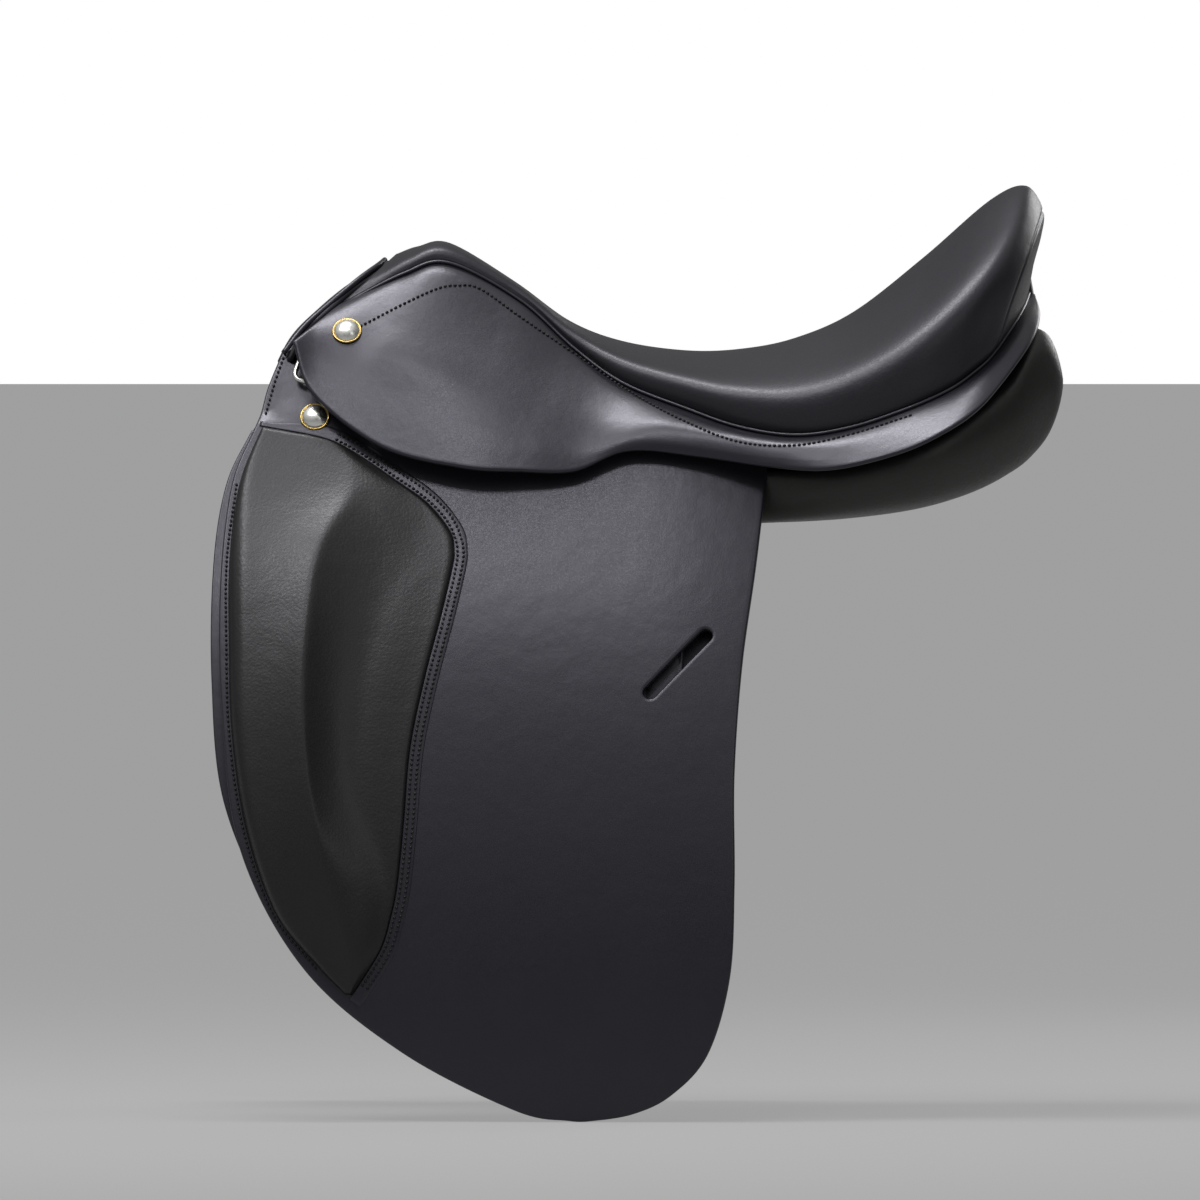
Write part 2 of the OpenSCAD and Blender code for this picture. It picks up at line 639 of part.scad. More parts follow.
module left_stirrup_bar() {
    back = -flap_leather - clear - bar_plate;
    color(steel)
        on_side(bar_x, bar_z)
            difference() {
                union() {
                    translate([bar_front - plate_margin, -bar_plate_height / 2, back])
                        cube([bar_length + 2 * plate_margin, bar_plate_height, bar_plate]);
                    bar_stem(0);
                    translate([bar_front, -bar_height / 2, bar_out])
                        cube([pin_x - bar_front, bar_height, bar_thickness]);
                    translate([pin_x, 0, bar_out]) cylinder(h = bar_thickness, d = bar_height);
                }
                translate([pin_x - bar_height / 2 - catch_room, -bar_height,
                    bar_out + (bar_thickness - catch_slot) / 2])
                    cube([bar_height * 2, bar_height * 2, catch_slot]);
                translate([pin_x, 0, bar_out - past])
                    cylinder(h = bar_thickness + 2 * past, r = catch_pin_radius);
                for (p = rivet_places) translate([p[0], p[1], back - past])
                    cylinder(h = bar_plate + 2 * past, r = rivet_radius);
            }
}

module left_bar_catch() {
    catch_height = bar_height - 2 * catch_step;
    catch_tip = catch_length - catch_height / 2;
    color(steel)
        on_side(bar_x, bar_z)
            translate([pin_x, 0, bar_out + (bar_thickness - catch_thickness) / 2])
                difference() {
                    union() {
                        cylinder(h = catch_thickness, d = bar_height - catch_step);
                        translate([0, -catch_height / 2, 0])
                            cube([catch_tip, catch_height, catch_thickness]);
                        translate([catch_tip, 0, 0]) cylinder(h = catch_thickness, d = catch_height);
                    }
                    translate([0, 0, -past])
                        cylinder(h = catch_thickness + 2 * past, r = catch_pin_radius + pin_play);
                }
}

module left_catch_pin() {
    color(steel)
        on_side(bar_x, bar_z)
            translate([pin_x, 0, bar_out]) cylinder(h = bar_thickness, r = catch_pin_radius);
}

rivet_radius = 2;
front_rivet = 20;
rear_rivet = 8;
rivet_places = [[bar_front + front_rivet, 0], [-bar_front - rear_rivet, 0]];
module left_bar_rivets() {
    on_side(bar_x, bar_z)
        for (p = rivet_places) translate([p[0], p[1], -flap_leather - clear - bar_plate])
            cylinder(h = bar_plate, r = rivet_radius);
}

module stirrup_bar_rivets() {
    color(steel) {
        left_bar_rivets();
        right_of() left_bar_rivets();
    }
}

// Girth straps

web_margin = 4;
girth_web_x = [-front_billet - billet_width / 2 - web_margin, rear_billet + billet_width / 2 + web_margin];
billet_top = 22;
web_overlap = 14;
web_hem = 14;
hem_gap = 2;
module left_girth_web() {
    length = girth_web_x[1] - girth_web_x[0];
    inside = web_out - web_thickness;
    color(web_cream)
        on_side(0, 0) {
            translate([girth_web_x[0], billet_top - web_overlap, inside])
                cube([length, web_overlap + web_hem, web_thickness]);
            translate([girth_web_x[0], billet_top + hem_gap, inside])
                cube([length, web_hem - hem_gap, -flap_leather - clear - inside]);
        }
}

// A strap hangs down the plane, then round the barrel inside the flap
billet_out = web_out + clear;
first_hole = 25;
function plane_length(z) = z / cos(flap_lean);
function barrel_angle(length) = length / flap_radius * 180 / PI;

// Moves children from the start of the barrel to a distance further down along it
module barrel_turn(down) {
    translate([0, plane_length(bend_z), -flap_radius])
        rotate([barrel_angle(down), 0, 0])
            translate([0, 0, flap_radius]) children();
}

module strap_holes(along) {
    for (k = [0:hole_count - 1])
        barrel_turn(along - k * hole_pitch) translate([0, 0, billet_out - past])
            cylinder(h = billet_thickness + 2 * past, r = hole_radius);
}

// Corners cut off the lower end of a strap
tip_taper = 9;
module strap_tip() {
    half = billet_width / 2;
    for (side = [0, 1]) mirror([side, 0, 0])
        translate([0, 0, billet_out - past])
            linear_extrude(billet_thickness + 2 * past)
                polygon([[tip_taper / 2, -past], [half + past, -past], [half + past, tip_taper + past]]);
}

module left_billet(x) {
    flat = billet_top - plane_length(bend_z);
    barrel = billet_length - flat;
    color(black_leather)
        on_side(0, 0) translate([x, 0, 0])
            difference() {
                union() {
                    translate([-billet_width / 2, plane_length(bend_z), billet_out])
                        cube([billet_width, flat, billet_thickness]);
                    translate([0, plane_length(bend_z), -flap_radius])
                        rotate([180, 0, 0]) rotate([0, 90, 0])
                            rotate_extrude(angle = barrel_angle(barrel), $fn = 360)
                                translate([flap_radius + billet_out, -billet_width / 2])
                                    square([billet_thickness, billet_width]);
                }
                barrel_turn(barrel) strap_tip();
                strap_holes(barrel - first_hole);
            }
}

// Dees

dee_x = -205;
dee_z = 110;
dee_tilt = -16;
dee_out = 3.9;
module left_dee() {
    w = dee_width / 2 + dee_wire;
    h = dee_height + 2 * dee_wire;
    color(steel)
        on_side(dee_x, dee_z) rotate([0, 0, dee_tilt]) translate([0, 0, dee_out]) {
            rotate([0, 90, 0]) cylinder(h = 2 * w, r = dee_wire, center = true);
            for (s = [-1, 1]) {
                translate([s * w, 0, 0]) sphere(r = dee_wire);
                translate([s * w, -h, 0]) sphere(r = dee_wire);
                translate([s * w, 0, 0]) rotate([90, 0, 0]) cylinder(h = h, r = dee_wire);
            }
            translate([0, -h, 0]) rotate([0, 90, 0]) cylinder(h = 2 * w, r = dee_wire, center = true);
        }
}

chape_width = 13;
chape_length = 9;
chape_leather = 2.4;
module left_dee_chape() {
    color(black_leather)
        on_side(dee_x, dee_z) rotate([0, 0, dee_tilt])
            difference() {
                union() {
                    translate([0, 0, dee_out]) rotate([0, 90, 0])
                        cylinder(h = chape_width, r = dee_out - clear, center = true);
                    translate([-chape_width / 2, 0, clear])
                        cube([chape_width, chape_length, chape_leather]);
                }
                translate([0, 0, dee_out]) rotate([0, 90, 0])
                    cylinder(h = chape_width + 2 * past, r = dee_wire + pin_play, center = true);
            }
}

// Nails

nail_u = 0.55;
nail_v = 1.5;
upper_nail = curve_at(curve_at(skirt_net, nail_u), nail_v);
nail_step = 0.05;
upper_nail_way =
    unit(cross(curve_at(curve_at(skirt_net, nail_u), nail_v + nail_step) - upper_nail,
        curve_at(curve_at(skirt_net, nail_u + nail_step), nail_v) - upper_nail));
nail_lift = 0.5;
lower_nail = [-208.5, 71.5];
collar_height = 1.4;
collar_wall = 1.2;
module at_nails() {
    for (side = [0, 1]) mirror([0, side, 0]) {
        translate(upper_nail)
            rotate([0, acos(upper_nail_way[2]), atan2(upper_nail_way[1], upper_nail_way[0])])
                translate([0, 0, nail_lift]) children();
        on_side(lower_nail[0], lower_nail[1]) translate([0, 0, clear]) children();
    }
}

module nail_dome_shape() {
    r = nail_diameter / 2 - collar_wall - pin_play;
    ball = (r * r + nail_dome * nail_dome) / (2 * nail_dome);
    rotate_extrude()
        intersection() {
            translate([0, collar_height + nail_dome - ball]) circle(r = ball, $fn = 96);
            square([r, collar_height + nail_dome]);
        }
    translate([0, 0, -nail_shank_length]) cylinder(h = nail_shank_length + collar_height / 2, d = nail_shank);
}

module nail_domes() {
    color(steel) at_nails() nail_dome_shape();
}

module nail_collars() {
    color(brass) at_nails() difference() {
        cylinder(h = collar_height, d = nail_diameter);
        translate([0, 0, -past]) cylinder(h = collar_height + 2 * past, d = nail_diameter - 2 * collar_wall);
    }
}

// Steel arch under the head of the tree, down to the inner faces of the points
plate_gap = 1.2;
point_inside = point_out - point_thickness - clear - plate_gap;
// Feet of the arch, as steps along x from the seam and heights
plate_feet = [[-8, 99], [-4, 110]];
function head_row(k, depth, out) =
    let (x = seam_point(k)[0])
    full_row(concat([for (f = plate_feet) side_at(x + f[0], f[1], out)],
        [for (j = [0:3]) sunk(seat_net[k][j], k, depth)]));
module head_plate() {
    outer = [for (k = [0:1]) head_row(k, spring_top, point_inside)];
    inner = [for (k = [0:1])
        head_row(k, spring_top + head_plate_thickness, point_inside - head_plate_thickness)];
    color(steel) shell(surface_grid(outer, 2, 20), surface_grid(inner, 2, 20));
}

tree();
head_plate();
spring(left_columns);  // left_spring
spring(right_columns);  // right_spring
seat_web();
seat_foam();
seat_cover();
cantle_facing();
left_welt();
right_of() left_welt();  // right_welt
left_skirt();
right_of() left_skirt();  // right_skirt
left_skirt_lip();
right_of() left_skirt_lip();  // right_skirt_lip
left_flap_head();
right_of() left_flap_head();  // right_flap_head
left_flap();
right_of() left_flap();  // right_flap
left_knee_block();
right_of() left_knee_block();  // right_knee_block
left_knee_cover();
right_of() left_knee_cover();  // right_knee_cover
left_sweat_flap();
right_of() left_sweat_flap();  // right_sweat_flap
left_panel();
right_of() left_panel();  // right_panel
pommel_facing();
gullet_lining();
left_tree_point();
right_of() left_tree_point();  // right_tree_point
left_stirrup_bar();
right_of() left_stirrup_bar();  // right_stirrup_bar
left_bar_catch();
right_of() left_bar_catch();  // right_bar_catch
left_catch_pin();
right_of() left_catch_pin();  // right_catch_pin
stirrup_bar_rivets();
left_girth_web();
right_of() left_girth_web();  // right_girth_web
left_billet(-front_billet);  // left_front_billet
left_billet(rear_billet);  // left_rear_billet
right_of() left_billet(-front_billet);  // right_front_billet
right_of() left_billet(rear_billet);  // right_rear_billet
left_dee();
right_of() left_dee();  // right_dee
left_dee_chape();
right_of() left_dee_chape();  // right_dee_chape
nail_domes();
nail_collars();
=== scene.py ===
# %% [markdown]
# # Dressage saddle in black leather
# A saddle is a tree dressed in leather: a drawn-down seat, two skirts, two long flaps with knee blocks, and
# soft panels below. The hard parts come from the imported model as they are. The leather is made here, on the
# same surfaces, with rolled edges, seams and thread.

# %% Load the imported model
import math
import bpy
import bmesh
import numpy as np
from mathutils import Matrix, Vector
from mathutils.bvhtree import BVHTree
from mathutils.geometry import delaunay_2d_cdt


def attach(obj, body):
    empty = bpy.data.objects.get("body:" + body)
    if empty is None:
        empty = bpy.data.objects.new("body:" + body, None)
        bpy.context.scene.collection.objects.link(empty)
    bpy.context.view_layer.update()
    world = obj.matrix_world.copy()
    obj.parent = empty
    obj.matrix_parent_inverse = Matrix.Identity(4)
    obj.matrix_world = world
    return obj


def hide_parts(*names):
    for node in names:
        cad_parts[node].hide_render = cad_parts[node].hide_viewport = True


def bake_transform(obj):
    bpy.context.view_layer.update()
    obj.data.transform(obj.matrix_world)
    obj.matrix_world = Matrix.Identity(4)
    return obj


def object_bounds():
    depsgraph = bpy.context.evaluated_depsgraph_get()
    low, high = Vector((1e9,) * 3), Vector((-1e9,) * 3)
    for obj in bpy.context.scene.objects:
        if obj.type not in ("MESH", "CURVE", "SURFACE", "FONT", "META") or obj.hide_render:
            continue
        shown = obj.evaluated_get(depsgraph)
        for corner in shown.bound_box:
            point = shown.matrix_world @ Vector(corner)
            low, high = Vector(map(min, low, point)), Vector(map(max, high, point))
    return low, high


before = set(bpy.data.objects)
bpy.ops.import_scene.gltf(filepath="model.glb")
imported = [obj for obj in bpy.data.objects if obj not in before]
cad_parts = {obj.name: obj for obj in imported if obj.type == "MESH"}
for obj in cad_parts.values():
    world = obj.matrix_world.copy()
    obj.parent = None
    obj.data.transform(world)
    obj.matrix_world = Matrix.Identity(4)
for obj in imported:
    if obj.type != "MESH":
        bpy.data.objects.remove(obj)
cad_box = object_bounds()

MM = 0.001
MIRROR = np.array([1, -1, 1])

# %% [markdown]
# ## Curves, surfaces and pieces
# A saddler works from patterns: outlines cut from hide, and forms drawn over a tree. So one helper makes a
# smooth surface through a net of points, and one cuts a sheet from an outline and rolls its edge. Pairs are
# made on the left and mirrored.

# %% Curves and grids
def spline(points, u):
    """Smooth curve through points (numbers, points or rows of points) at the places u."""
    p = np.asarray(points, float)
    p = np.concatenate([[2 * p[0] - p[1]], p, [2 * p[-1] - p[-2]]])
    u = np.asarray(u, float)
    i = np.clip(u.astype(int), 0, len(points) - 2)
    t = (u - i).reshape((-1,) + (1,) * (p.ndim - 1))
    a, b, c, d = p[i], p[i + 1], p[i + 2], p[i + 3]
    square, cube = 2 * a - 5 * b + 4 * c - d, 3 * b - a - 3 * c + d
    return 0.5 * (2 * b + (c - a) * t + square * t ** 2 + cube * t ** 3)


def curve(points, count):
    return spline(points, np.linspace(0, len(points) - 1, count))


def loop_curve(points, count):
    p = np.asarray(points, float)
    wrapped = np.concatenate([p[-1:], p, p[:2]])
    return spline(wrapped, 1 + np.arange(count) * len(p) / count)


def paced_curve(points, count):
    """Smooth curve through points, or rows of points, whose pace follows their spacing."""
    p = np.asarray(points, float)
    step = np.linalg.norm(np.diff(p, axis=0), axis=-1)
    step = step.mean(axis=1) if step.ndim > 1 else step
    at = np.concatenate([[0], np.cumsum(step)])
    slope = np.gradient(p, at, axis=0)
    t = np.linspace(0, at[-1], count)
    i = np.clip(np.searchsorted(at, t, side="right") - 1, 0, len(at) - 2)
    shape = (-1,) + (1,) * (p.ndim - 1)
    h = (at[i + 1] - at[i]).reshape(shape)
    q = (t - at[i]).reshape(shape) / h
    return ((2 * q ** 3 - 3 * q ** 2 + 1) * p[i] + (q ** 3 - 2 * q ** 2 + q) * h * slope[i]
            + (3 * q ** 2 - 2 * q ** 3) * p[i + 1] + (q ** 3 - q ** 2) * h * slope[i + 1])


def surface(net, us, vs):
    """Points of a smooth surface through a net, at the places us and vs."""
    rows = spline(net, us)
    return np.swapaxes(spline(np.swapaxes(rows, 0, 1), vs), 0, 1)


def lengths(points):
    """Distance of each point along its curve."""
    step = np.linalg.norm(np.diff(points, axis=0), axis=-1)
    return np.concatenate([np.zeros((1,) + step.shape[1:]), np.cumsum(step, axis=0)])


def resample(points, step):
    d = lengths(points)
    t = np.linspace(0, d[-1], max(2, int(round(d[-1] / step)) + 1))
    return np.stack([np.interp(t, d, points[:, k]) for k in range(points.shape[1])], 1)


def normals(grid):
    n = np.cross(np.gradient(grid, axis=0), np.gradient(grid, axis=1))
    return n / np.maximum(np.linalg.norm(n, axis=-1, keepdims=True), 1e-9)


def smooth(t):
    t = np.clip(t, 0, 1)
    return t * t * (3 - 2 * t)


def unit(v):
    return v / np.linalg.norm(v, axis=-1, keepdims=True)


def turned_left(way):
    """Flat directions after a quarter turn to the left."""
    return np.stack([-way[:, 1], way[:, 0]], 1)


def circle(count):
    angle = np.linspace(0, 2 * np.pi, count, endpoint=False)
    return np.stack([np.cos(angle), np.sin(angle)], 1)


# %% Pieces
def put(name, data):
    obj = bpy.data.objects.new(name, data)
    bpy.context.scene.collection.objects.link(obj)
    return obj


def piece(name, verts, faces, material):
    mesh = bpy.data.meshes.new(name)
    mesh.from_pydata((np.asarray(verts) * MM).tolist(), [], [list(map(int, f)) for f in faces])
    bm = bmesh.new()
    bm.from_mesh(mesh)
    bmesh.ops.recalc_face_normals(bm, faces=bm.faces)
    bm.to_mesh(mesh)
    bm.free()
    mesh.materials.append(material)
    mesh.shade_smooth()
    return put(name, mesh)


def both(name, made, material):
    verts, faces = made
    return {"left": piece("left_" + name, verts, faces, material),
            "right": piece("right_" + name, np.asarray(verts) * MIRROR, faces, material)}


def between(top, bottom):
    """Closed solid between two grids of the same size."""
    rows, columns = top.shape[:2]
    index = np.arange(rows * columns).reshape(rows, columns)
    quads = np.stack([index[:-1, :-1], index[1:, :-1], index[1:, 1:], index[:-1, 1:]], -1).reshape(-1, 4)
    rim = np.concatenate([index[0, :-1], index[:-1, -1], index[-1, :0:-1], index[:0:-1, 0]])
    nxt = np.roll(rim, -1)
    count = rows * columns
    walls = np.stack([rim, nxt, nxt + count, rim + count], 1)
    verts = np.concatenate([top.reshape(-1, 3), bottom.reshape(-1, 3)])
    return verts, np.concatenate([quads, quads[:, ::-1] + count, walls]).tolist()


def loft(rings):
    """Closed solid through rings of points, with a fan at each end."""
    count, sides = rings.shape[:2]
    index = np.arange(count * sides).reshape(count, sides)
    beside = np.roll(index, -1, 1)
    faces = np.stack([index[:-1], beside[:-1], beside[1:], index[1:]], -1).reshape(-1, 4).tolist()
    verts = np.concatenate([rings.reshape(-1, 3), [rings[0].mean(0), rings[-1].mean(0)]])
    tip, last = count * sides, (count - 1) * sides
    for k, n in zip(index[0].tolist(), beside[0].tolist()):
        faces += [[tip, n, k], [tip + 1, last + k, last + n]]
    return verts, faces


def tube(path, radius, sides=12):
    ahead = unit(np.gradient(path, axis=0))
    across = unit(np.cross(ahead, [0, 0, 1.0]))
    up = np.cross(ahead, across)
    turn = circle(sides)
    return loft(path[:, None] + radius * (across[:, None] * turn[:, :1] + up[:, None] * turn[:, 1:]))


def laid_on(obj, flat, lift):
    """Points (x, z) laid on the left side of a piece, and the leather's normals there."""
    mesh = obj.data
    bvh = BVHTree.FromPolygons([v.co for v in mesh.vertices], [p.vertices for p in mesh.polygons])
    found = [bvh.ray_cast(Vector((x * MM, -1, z * MM)), Vector((0, 1, 0))) for x, z in flat]
    found = [(h[0], h[1] if h[1].y < 0 else -h[1]) for h in found if h[0] is not None]
    return np.array([tuple(p + n * lift * MM) for p, n in found]), np.array([tuple(n) for _, n in found])


# %% Sheets cut from an outline
def inset(loop, distance):
    """A closed outline moved inwards; the outline runs anticlockwise."""
    return loop + distance * turned_left(unit(np.roll(loop, -1, 0) - np.roll(loop, 1, 0)))


def inside(points, loop):
    x, y = points[:, 0][:, None], points[:, 1][:, None]
    a, b = loop, np.roll(loop, -1, 0)
    crosses = (a[:, 1] > y) != (b[:, 1] > y)
    rise = np.where(b[:, 1] == a[:, 1], 1e-9, b[:, 1] - a[:, 1])
    at = a[:, 0] + (y - a[:, 1]) * (b[:, 0] - a[:, 0]) / rise
    return (crosses & (x < at)).sum(1) % 2 == 1


def outline(*runs, step=4.0):
    """Closed anticlockwise outline from smooth runs of points that follow each other."""
    loop = np.concatenate([resample(curve(r, 24 * len(r)), step)[:-1] for r in runs])
    x, y = loop[:, 0], loop[:, 1]
    area = (x * np.roll(y, -1) - np.roll(x, -1) * y).sum()
    return loop if area > 0 else loop[::-1]


def polygon(*corners):
    return outline(*zip(corners, corners[1:] + corners[:1]))


ROLLED_RIM = [(0, -1), (0.25, -0.4), (0.7, -0.08), (1.3, 0)]
CREASE_HALF, CREASE_DEEP = 0.8, 0.2
HOLE_RINGS = (0.7, 2.2)


def cut(loop, place, thickness, holes=(), spacing=8.0, roll=1.1, crease=0.0):
    """Sheet of leather with a rolled edge, holes, and a crease along the edge where one is wanted.

    place(points, out) puts points of the flat outline in space, out along the grain side.
    """
    profile = [(d * roll, h * roll) for d, h in ROLLED_RIM]
    if crease:
        profile += [(crease - CREASE_HALF, 0), (crease, -CREASE_DEEP), (crease + CREASE_HALF, 0)]
    else:
        profile += [(3 * roll, 0)]
    rings = [(inset(loop, d), h) for d, h in profile]
    rings += [(hole, -0.5 * roll) for hole in holes]
    rings += [(inset(hole, -away), 0) for away in HOLE_RINGS for hole in holes]
    last = rings[len(profile) - 1][0]
    low, high = loop.min(0), loop.max(0)
    gx, gy = np.meshgrid(np.arange(low[0], high[0], spacing), np.arange(low[1], high[1], spacing))
    gx[1::2] += spacing / 2
    grid = np.stack([gx.ravel(), gy.ravel()], 1)
    grid = grid[inside(grid, last)]
    for ring in [last] + [r for r, _ in rings[len(profile):]]:
        gap = np.min(np.linalg.norm(grid[:, None] - ring[None], axis=2), axis=1)
        grid = grid[gap > 0.45 * spacing]
    for hole in holes:
        grid = grid[~inside(grid, hole)]
    flat, height, edges = [], [], []
    for ring, h in rings:
        n, at = len(ring), len(flat)
        flat += ring.tolist()
        height += [h] * n
        edges += [(at + k, at + (k + 1) % n) for k in range(n)]
    flat += grid.tolist()
    height += [0.0] * len(grid)
    got, _, tris, source, _, _ = delaunay_2d_cdt([Vector(p) for p in flat], edges, [], 1, 1e-5)
    got = np.array([tuple(p) for p in got])
    tris = np.array([t for t in tris if len(t) == 3])
    for hole in holes:
        tris = tris[~inside(got[tris].mean(1), hole)]
    out = np.array([height[s[0]] if len(s) else 0.0 for s in source])
    back = -thickness + np.where(out <= -0.9 * roll, 0.6 * roll, 0)
    number = {s: k for k, ids in enumerate(source) for s in ids}
    count = len(got)
    faces = tris.tolist() + (tris[:, ::-1] + count).tolist()
    starts = np.cumsum([0] + [len(r) for r, _ in rings])
    for r in [0] + list(range(len(profile), len(profile) + len(holes))):
        ids = [number[k] for k in range(starts[r], starts[r + 1])]
        faces += [[a, b, b + count, a + count] for a, b in zip(ids, ids[1:] + ids[:1])]
    return np.concatenate([place(got, out), place(got, back)]), faces


print("sheet helpers ready")

# %% [markdown]
# ## Materials
# Flaps and skirts are smooth black bridle leather with a soft sheen and a slightly violet tone. Seat, knee
# blocks and panels are softer calf with a fine grain. Each finish is noise and cells at the size of real
# pores, in millimetres; the gloss comes from the shader.

# %% Materials
def hex_colour(text):
    parts = [int(text[k:k + 2], 16) / 255 for k in (1, 3, 5)]
    return [c / 12.92 if c <= 0.04045 else ((c + 0.055) / 1.055) ** 2.4 for c in parts] + [1.0]


def fill(tree, node, inputs):
    """Sets or links a node's inputs."""
    for key, value in inputs.items():
        socket = node.inputs[key]
        if isinstance(value, bpy.types.NodeSocket):
            tree.links.new(value, socket)
        else:
            socket.default_value = value


def add(tree, kind, inputs=(), **settings):
    """Adds a node, sets its properties, and sets or links its inputs."""
    node = tree.nodes.new(kind)
    for key, value in settings.items():
        setattr(node, key, value)
    fill(tree, node, dict(inputs))
    return node


def noise(tree, size, scale, detail):
    return add(tree, "ShaderNodeTexNoise", {"Vector": size, "Scale": scale, "Detail": detail}).outputs


def combine(tree, operation, *values):
    return add(tree, "ShaderNodeMath", dict(enumerate(values)), operation=operation).outputs[0]


def remap(tree, value, start, end, low, high):
    return add(tree, "ShaderNodeMapRange", {0: value, 1: start, 2: end, 3: low, 4: high}).outputs[0]


def tone(tree, share, dark, light):
    colours = {0: share, 6: hex_colour(dark), 7: hex_colour(light)}
    return add(tree, "ShaderNodeMix", colours, data_type="RGBA").outputs[2]


def bump(tree, height, strength, depth):
    """Fine relief, with its depth in mm."""
    relief = {"Strength": strength, "Distance": depth * MM, "Height": height}
    return add(tree, "ShaderNodeBump", relief).outputs[0]


def finish_material(name):
    """A new material, its tree and shader, and the place on the piece in mm."""
    material = bpy.data.materials.new(name)
    material.use_nodes = True
    tree = material.node_tree
    place = add(tree, "ShaderNodeTexCoord").outputs["Object"]
    size = add(tree, "ShaderNodeVectorMath", {0: place, 3: 1000.0}, operation="SCALE").outputs[0]
    return material, tree, tree.nodes["Principled BSDF"], size


# Slow changes over a hide: scales per mm of its tone and its level, and how far the level goes, in mm.
TONE_SCALE, HIDE_SCALE, UNEVEN = 0.03, 0.07, 0.5
# Part of a noise that changes the gloss.
MARKS = (0.3, 0.7)


def leather(name, dark, light, rough, pore, depth, shine, tint):
    """Black leather: cells of the grain in mm, fine pores in the gloss, a slow tone and an uneven hide."""
    material, tree, shader, size = finish_material(name)
    slow = noise(tree, size, TONE_SCALE, 3.0)
    fine = noise(tree, size, 0.9 / pore, 4.0)
    bent = add(tree, "ShaderNodeMix", {0: 0.25, 4: size, 5: fine[1]}, data_type="VECTOR")
    cells = add(tree, "ShaderNodeTexVoronoi", {"Vector": bent.outputs[1], "Scale": 1.0 / pore},
                feature="SMOOTH_F1")
    grain = combine(tree, "ADD", cells.outputs["Distance"], fine[0])
    hide = noise(tree, size, HIDE_SCALE, 2.0)
    height = combine(tree, "MULTIPLY_ADD", hide[0], UNEVEN / depth, grain)
    fill(tree, shader, {
        "Base Color": tone(tree, slow[0], dark, light),
        "Roughness": remap(tree, fine[0], *MARKS, rough - 0.05, rough + 0.07),
        "Normal": bump(tree, height, 0.5, depth),
        "Specular IOR Level": shine, "Specular Tint": hex_colour(tint)})
    return material


def metal(name, colour, rough):
    """Polished or oiled metal with fine wear in its gloss."""
    material, tree, shader, size = finish_material(name)
    wear = noise(tree, size, 0.8, 5.0)
    fill(tree, shader, {
        "Base Color": hex_colour(colour), "Metallic": 1.0,
        "Roughness": remap(tree, wear[0], *MARKS, rough * 0.8, rough * 1.3),
        "Normal": bump(tree, wear[0], 0.1, 0.05)})
    return material


def woven(name, dark, light, pitch, rough=0.85):
    """Cloth or thread: two sets of strands that cross, a pitch apart in mm."""
    material, tree, shader, size = finish_material(name)
    waves = [add(tree, "ShaderNodeTexWave", {"Vector": size, "Scale": 0.31 / pitch, "Distortion": 0.4},
                 bands_direction=d) for d in ("X", "Z")]
    height = combine(tree, "MULTIPLY", waves[0].outputs[1], waves[1].outputs[1])
    fill(tree, shader, {
        "Base Color": tone(tree, height, dark, light), "Roughness": rough,
        "Specular IOR Level": 0.25, "Normal": bump(tree, height, 0.6, 0.2)})
    return material


BRIDLE = leather("bridle_leather_black_smooth", "#131217", "#19181e", 0.35, 0.9, 0.05, 0.5, "#f3f1ff")
SEAT = leather("seat_leather_black_soft", "#131216", "#18171c", 0.41, 1.2, 0.10, 0.42, "#f7f5ff")
CALF = leather("calf_leather_black_grained", "#131312", "#191817", 0.38, 1.3, 0.17, 0.35, "#f9f8ff")
PANEL = leather("panel_leather_black_soft", "#121211", "#171615", 0.42, 1.6, 0.14, 0.44, "#fffdfa")
THREAD = woven("waxed_linen_thread_black", "#0b0b0c", "#1f1f22", 0.5, 0.5)
STEEL = metal("polished_steel", "#dcdcd8", 0.3)
BRASS = metal("polished_brass", "#c0a566", 0.28)
IRON = metal("spring_steel_black_oiled", "#3a3a3d", 0.45)
SCRIM = woven("canvas_scrim_black_on_beech", "#121110", "#23211f", 1.1)
WEBBING = woven("cotton_webbing_cream", "#a89b7a", "#cdc3a6", 1.4)
LINING = woven("canvas_lining_black", "#0d0d0d", "#1d1d1d", 0.8)
print("materials", len(bpy.data.materials))

# %% [markdown]
# ## Camera, floor and light
# The photo is taken square from the left with a long lens, so the camera stands far back. Soft lamps stand
# as panels do in a studio: in front for the knee block, small and high for the top of the flap, strong
# overhead for the seat, a weak fill, and one behind. A wide, weak sun softens the shade. Floor and sky are
# plain, so that they look even in the gloss.

# %% Camera, floor and light
def aimed(way):
    return way.to_track_quat("-Z", "Y").to_euler()


scene = bpy.context.scene
scene.view_settings.view_transform = "Standard"
LOOK_AT = Vector((-25.6, 0, -47.0)) * MM
FRAME_WIDTH, FAR, RISE, SENSOR = 0.7735, 20.0, math.radians(0.8), 36
camera = put("camera", bpy.data.cameras.new("camera"))
camera.data.sensor_width = SENSOR
camera.data.lens = SENSOR * FAR / FRAME_WIDTH
camera.data.clip_end = 200
camera.location = LOOK_AT + FAR * Vector((0, -math.cos(RISE), math.sin(RISE)))
camera.rotation_euler = aimed(LOOK_AT - camera.location)
scene.camera = camera

FLOOR_Z, REACH = cad_box[0].z - 0.0005, 67.0
floor_mesh = bpy.data.meshes.new("floor")
floor_corners = [(x * REACH, y * REACH, FLOOR_Z) for x, y in ((-1, -1), (1, -1), (1, 1), (-1, 1))]
floor_mesh.from_pydata(floor_corners, [], [(0, 1, 2, 3)])
floor = put("floor", floor_mesh)


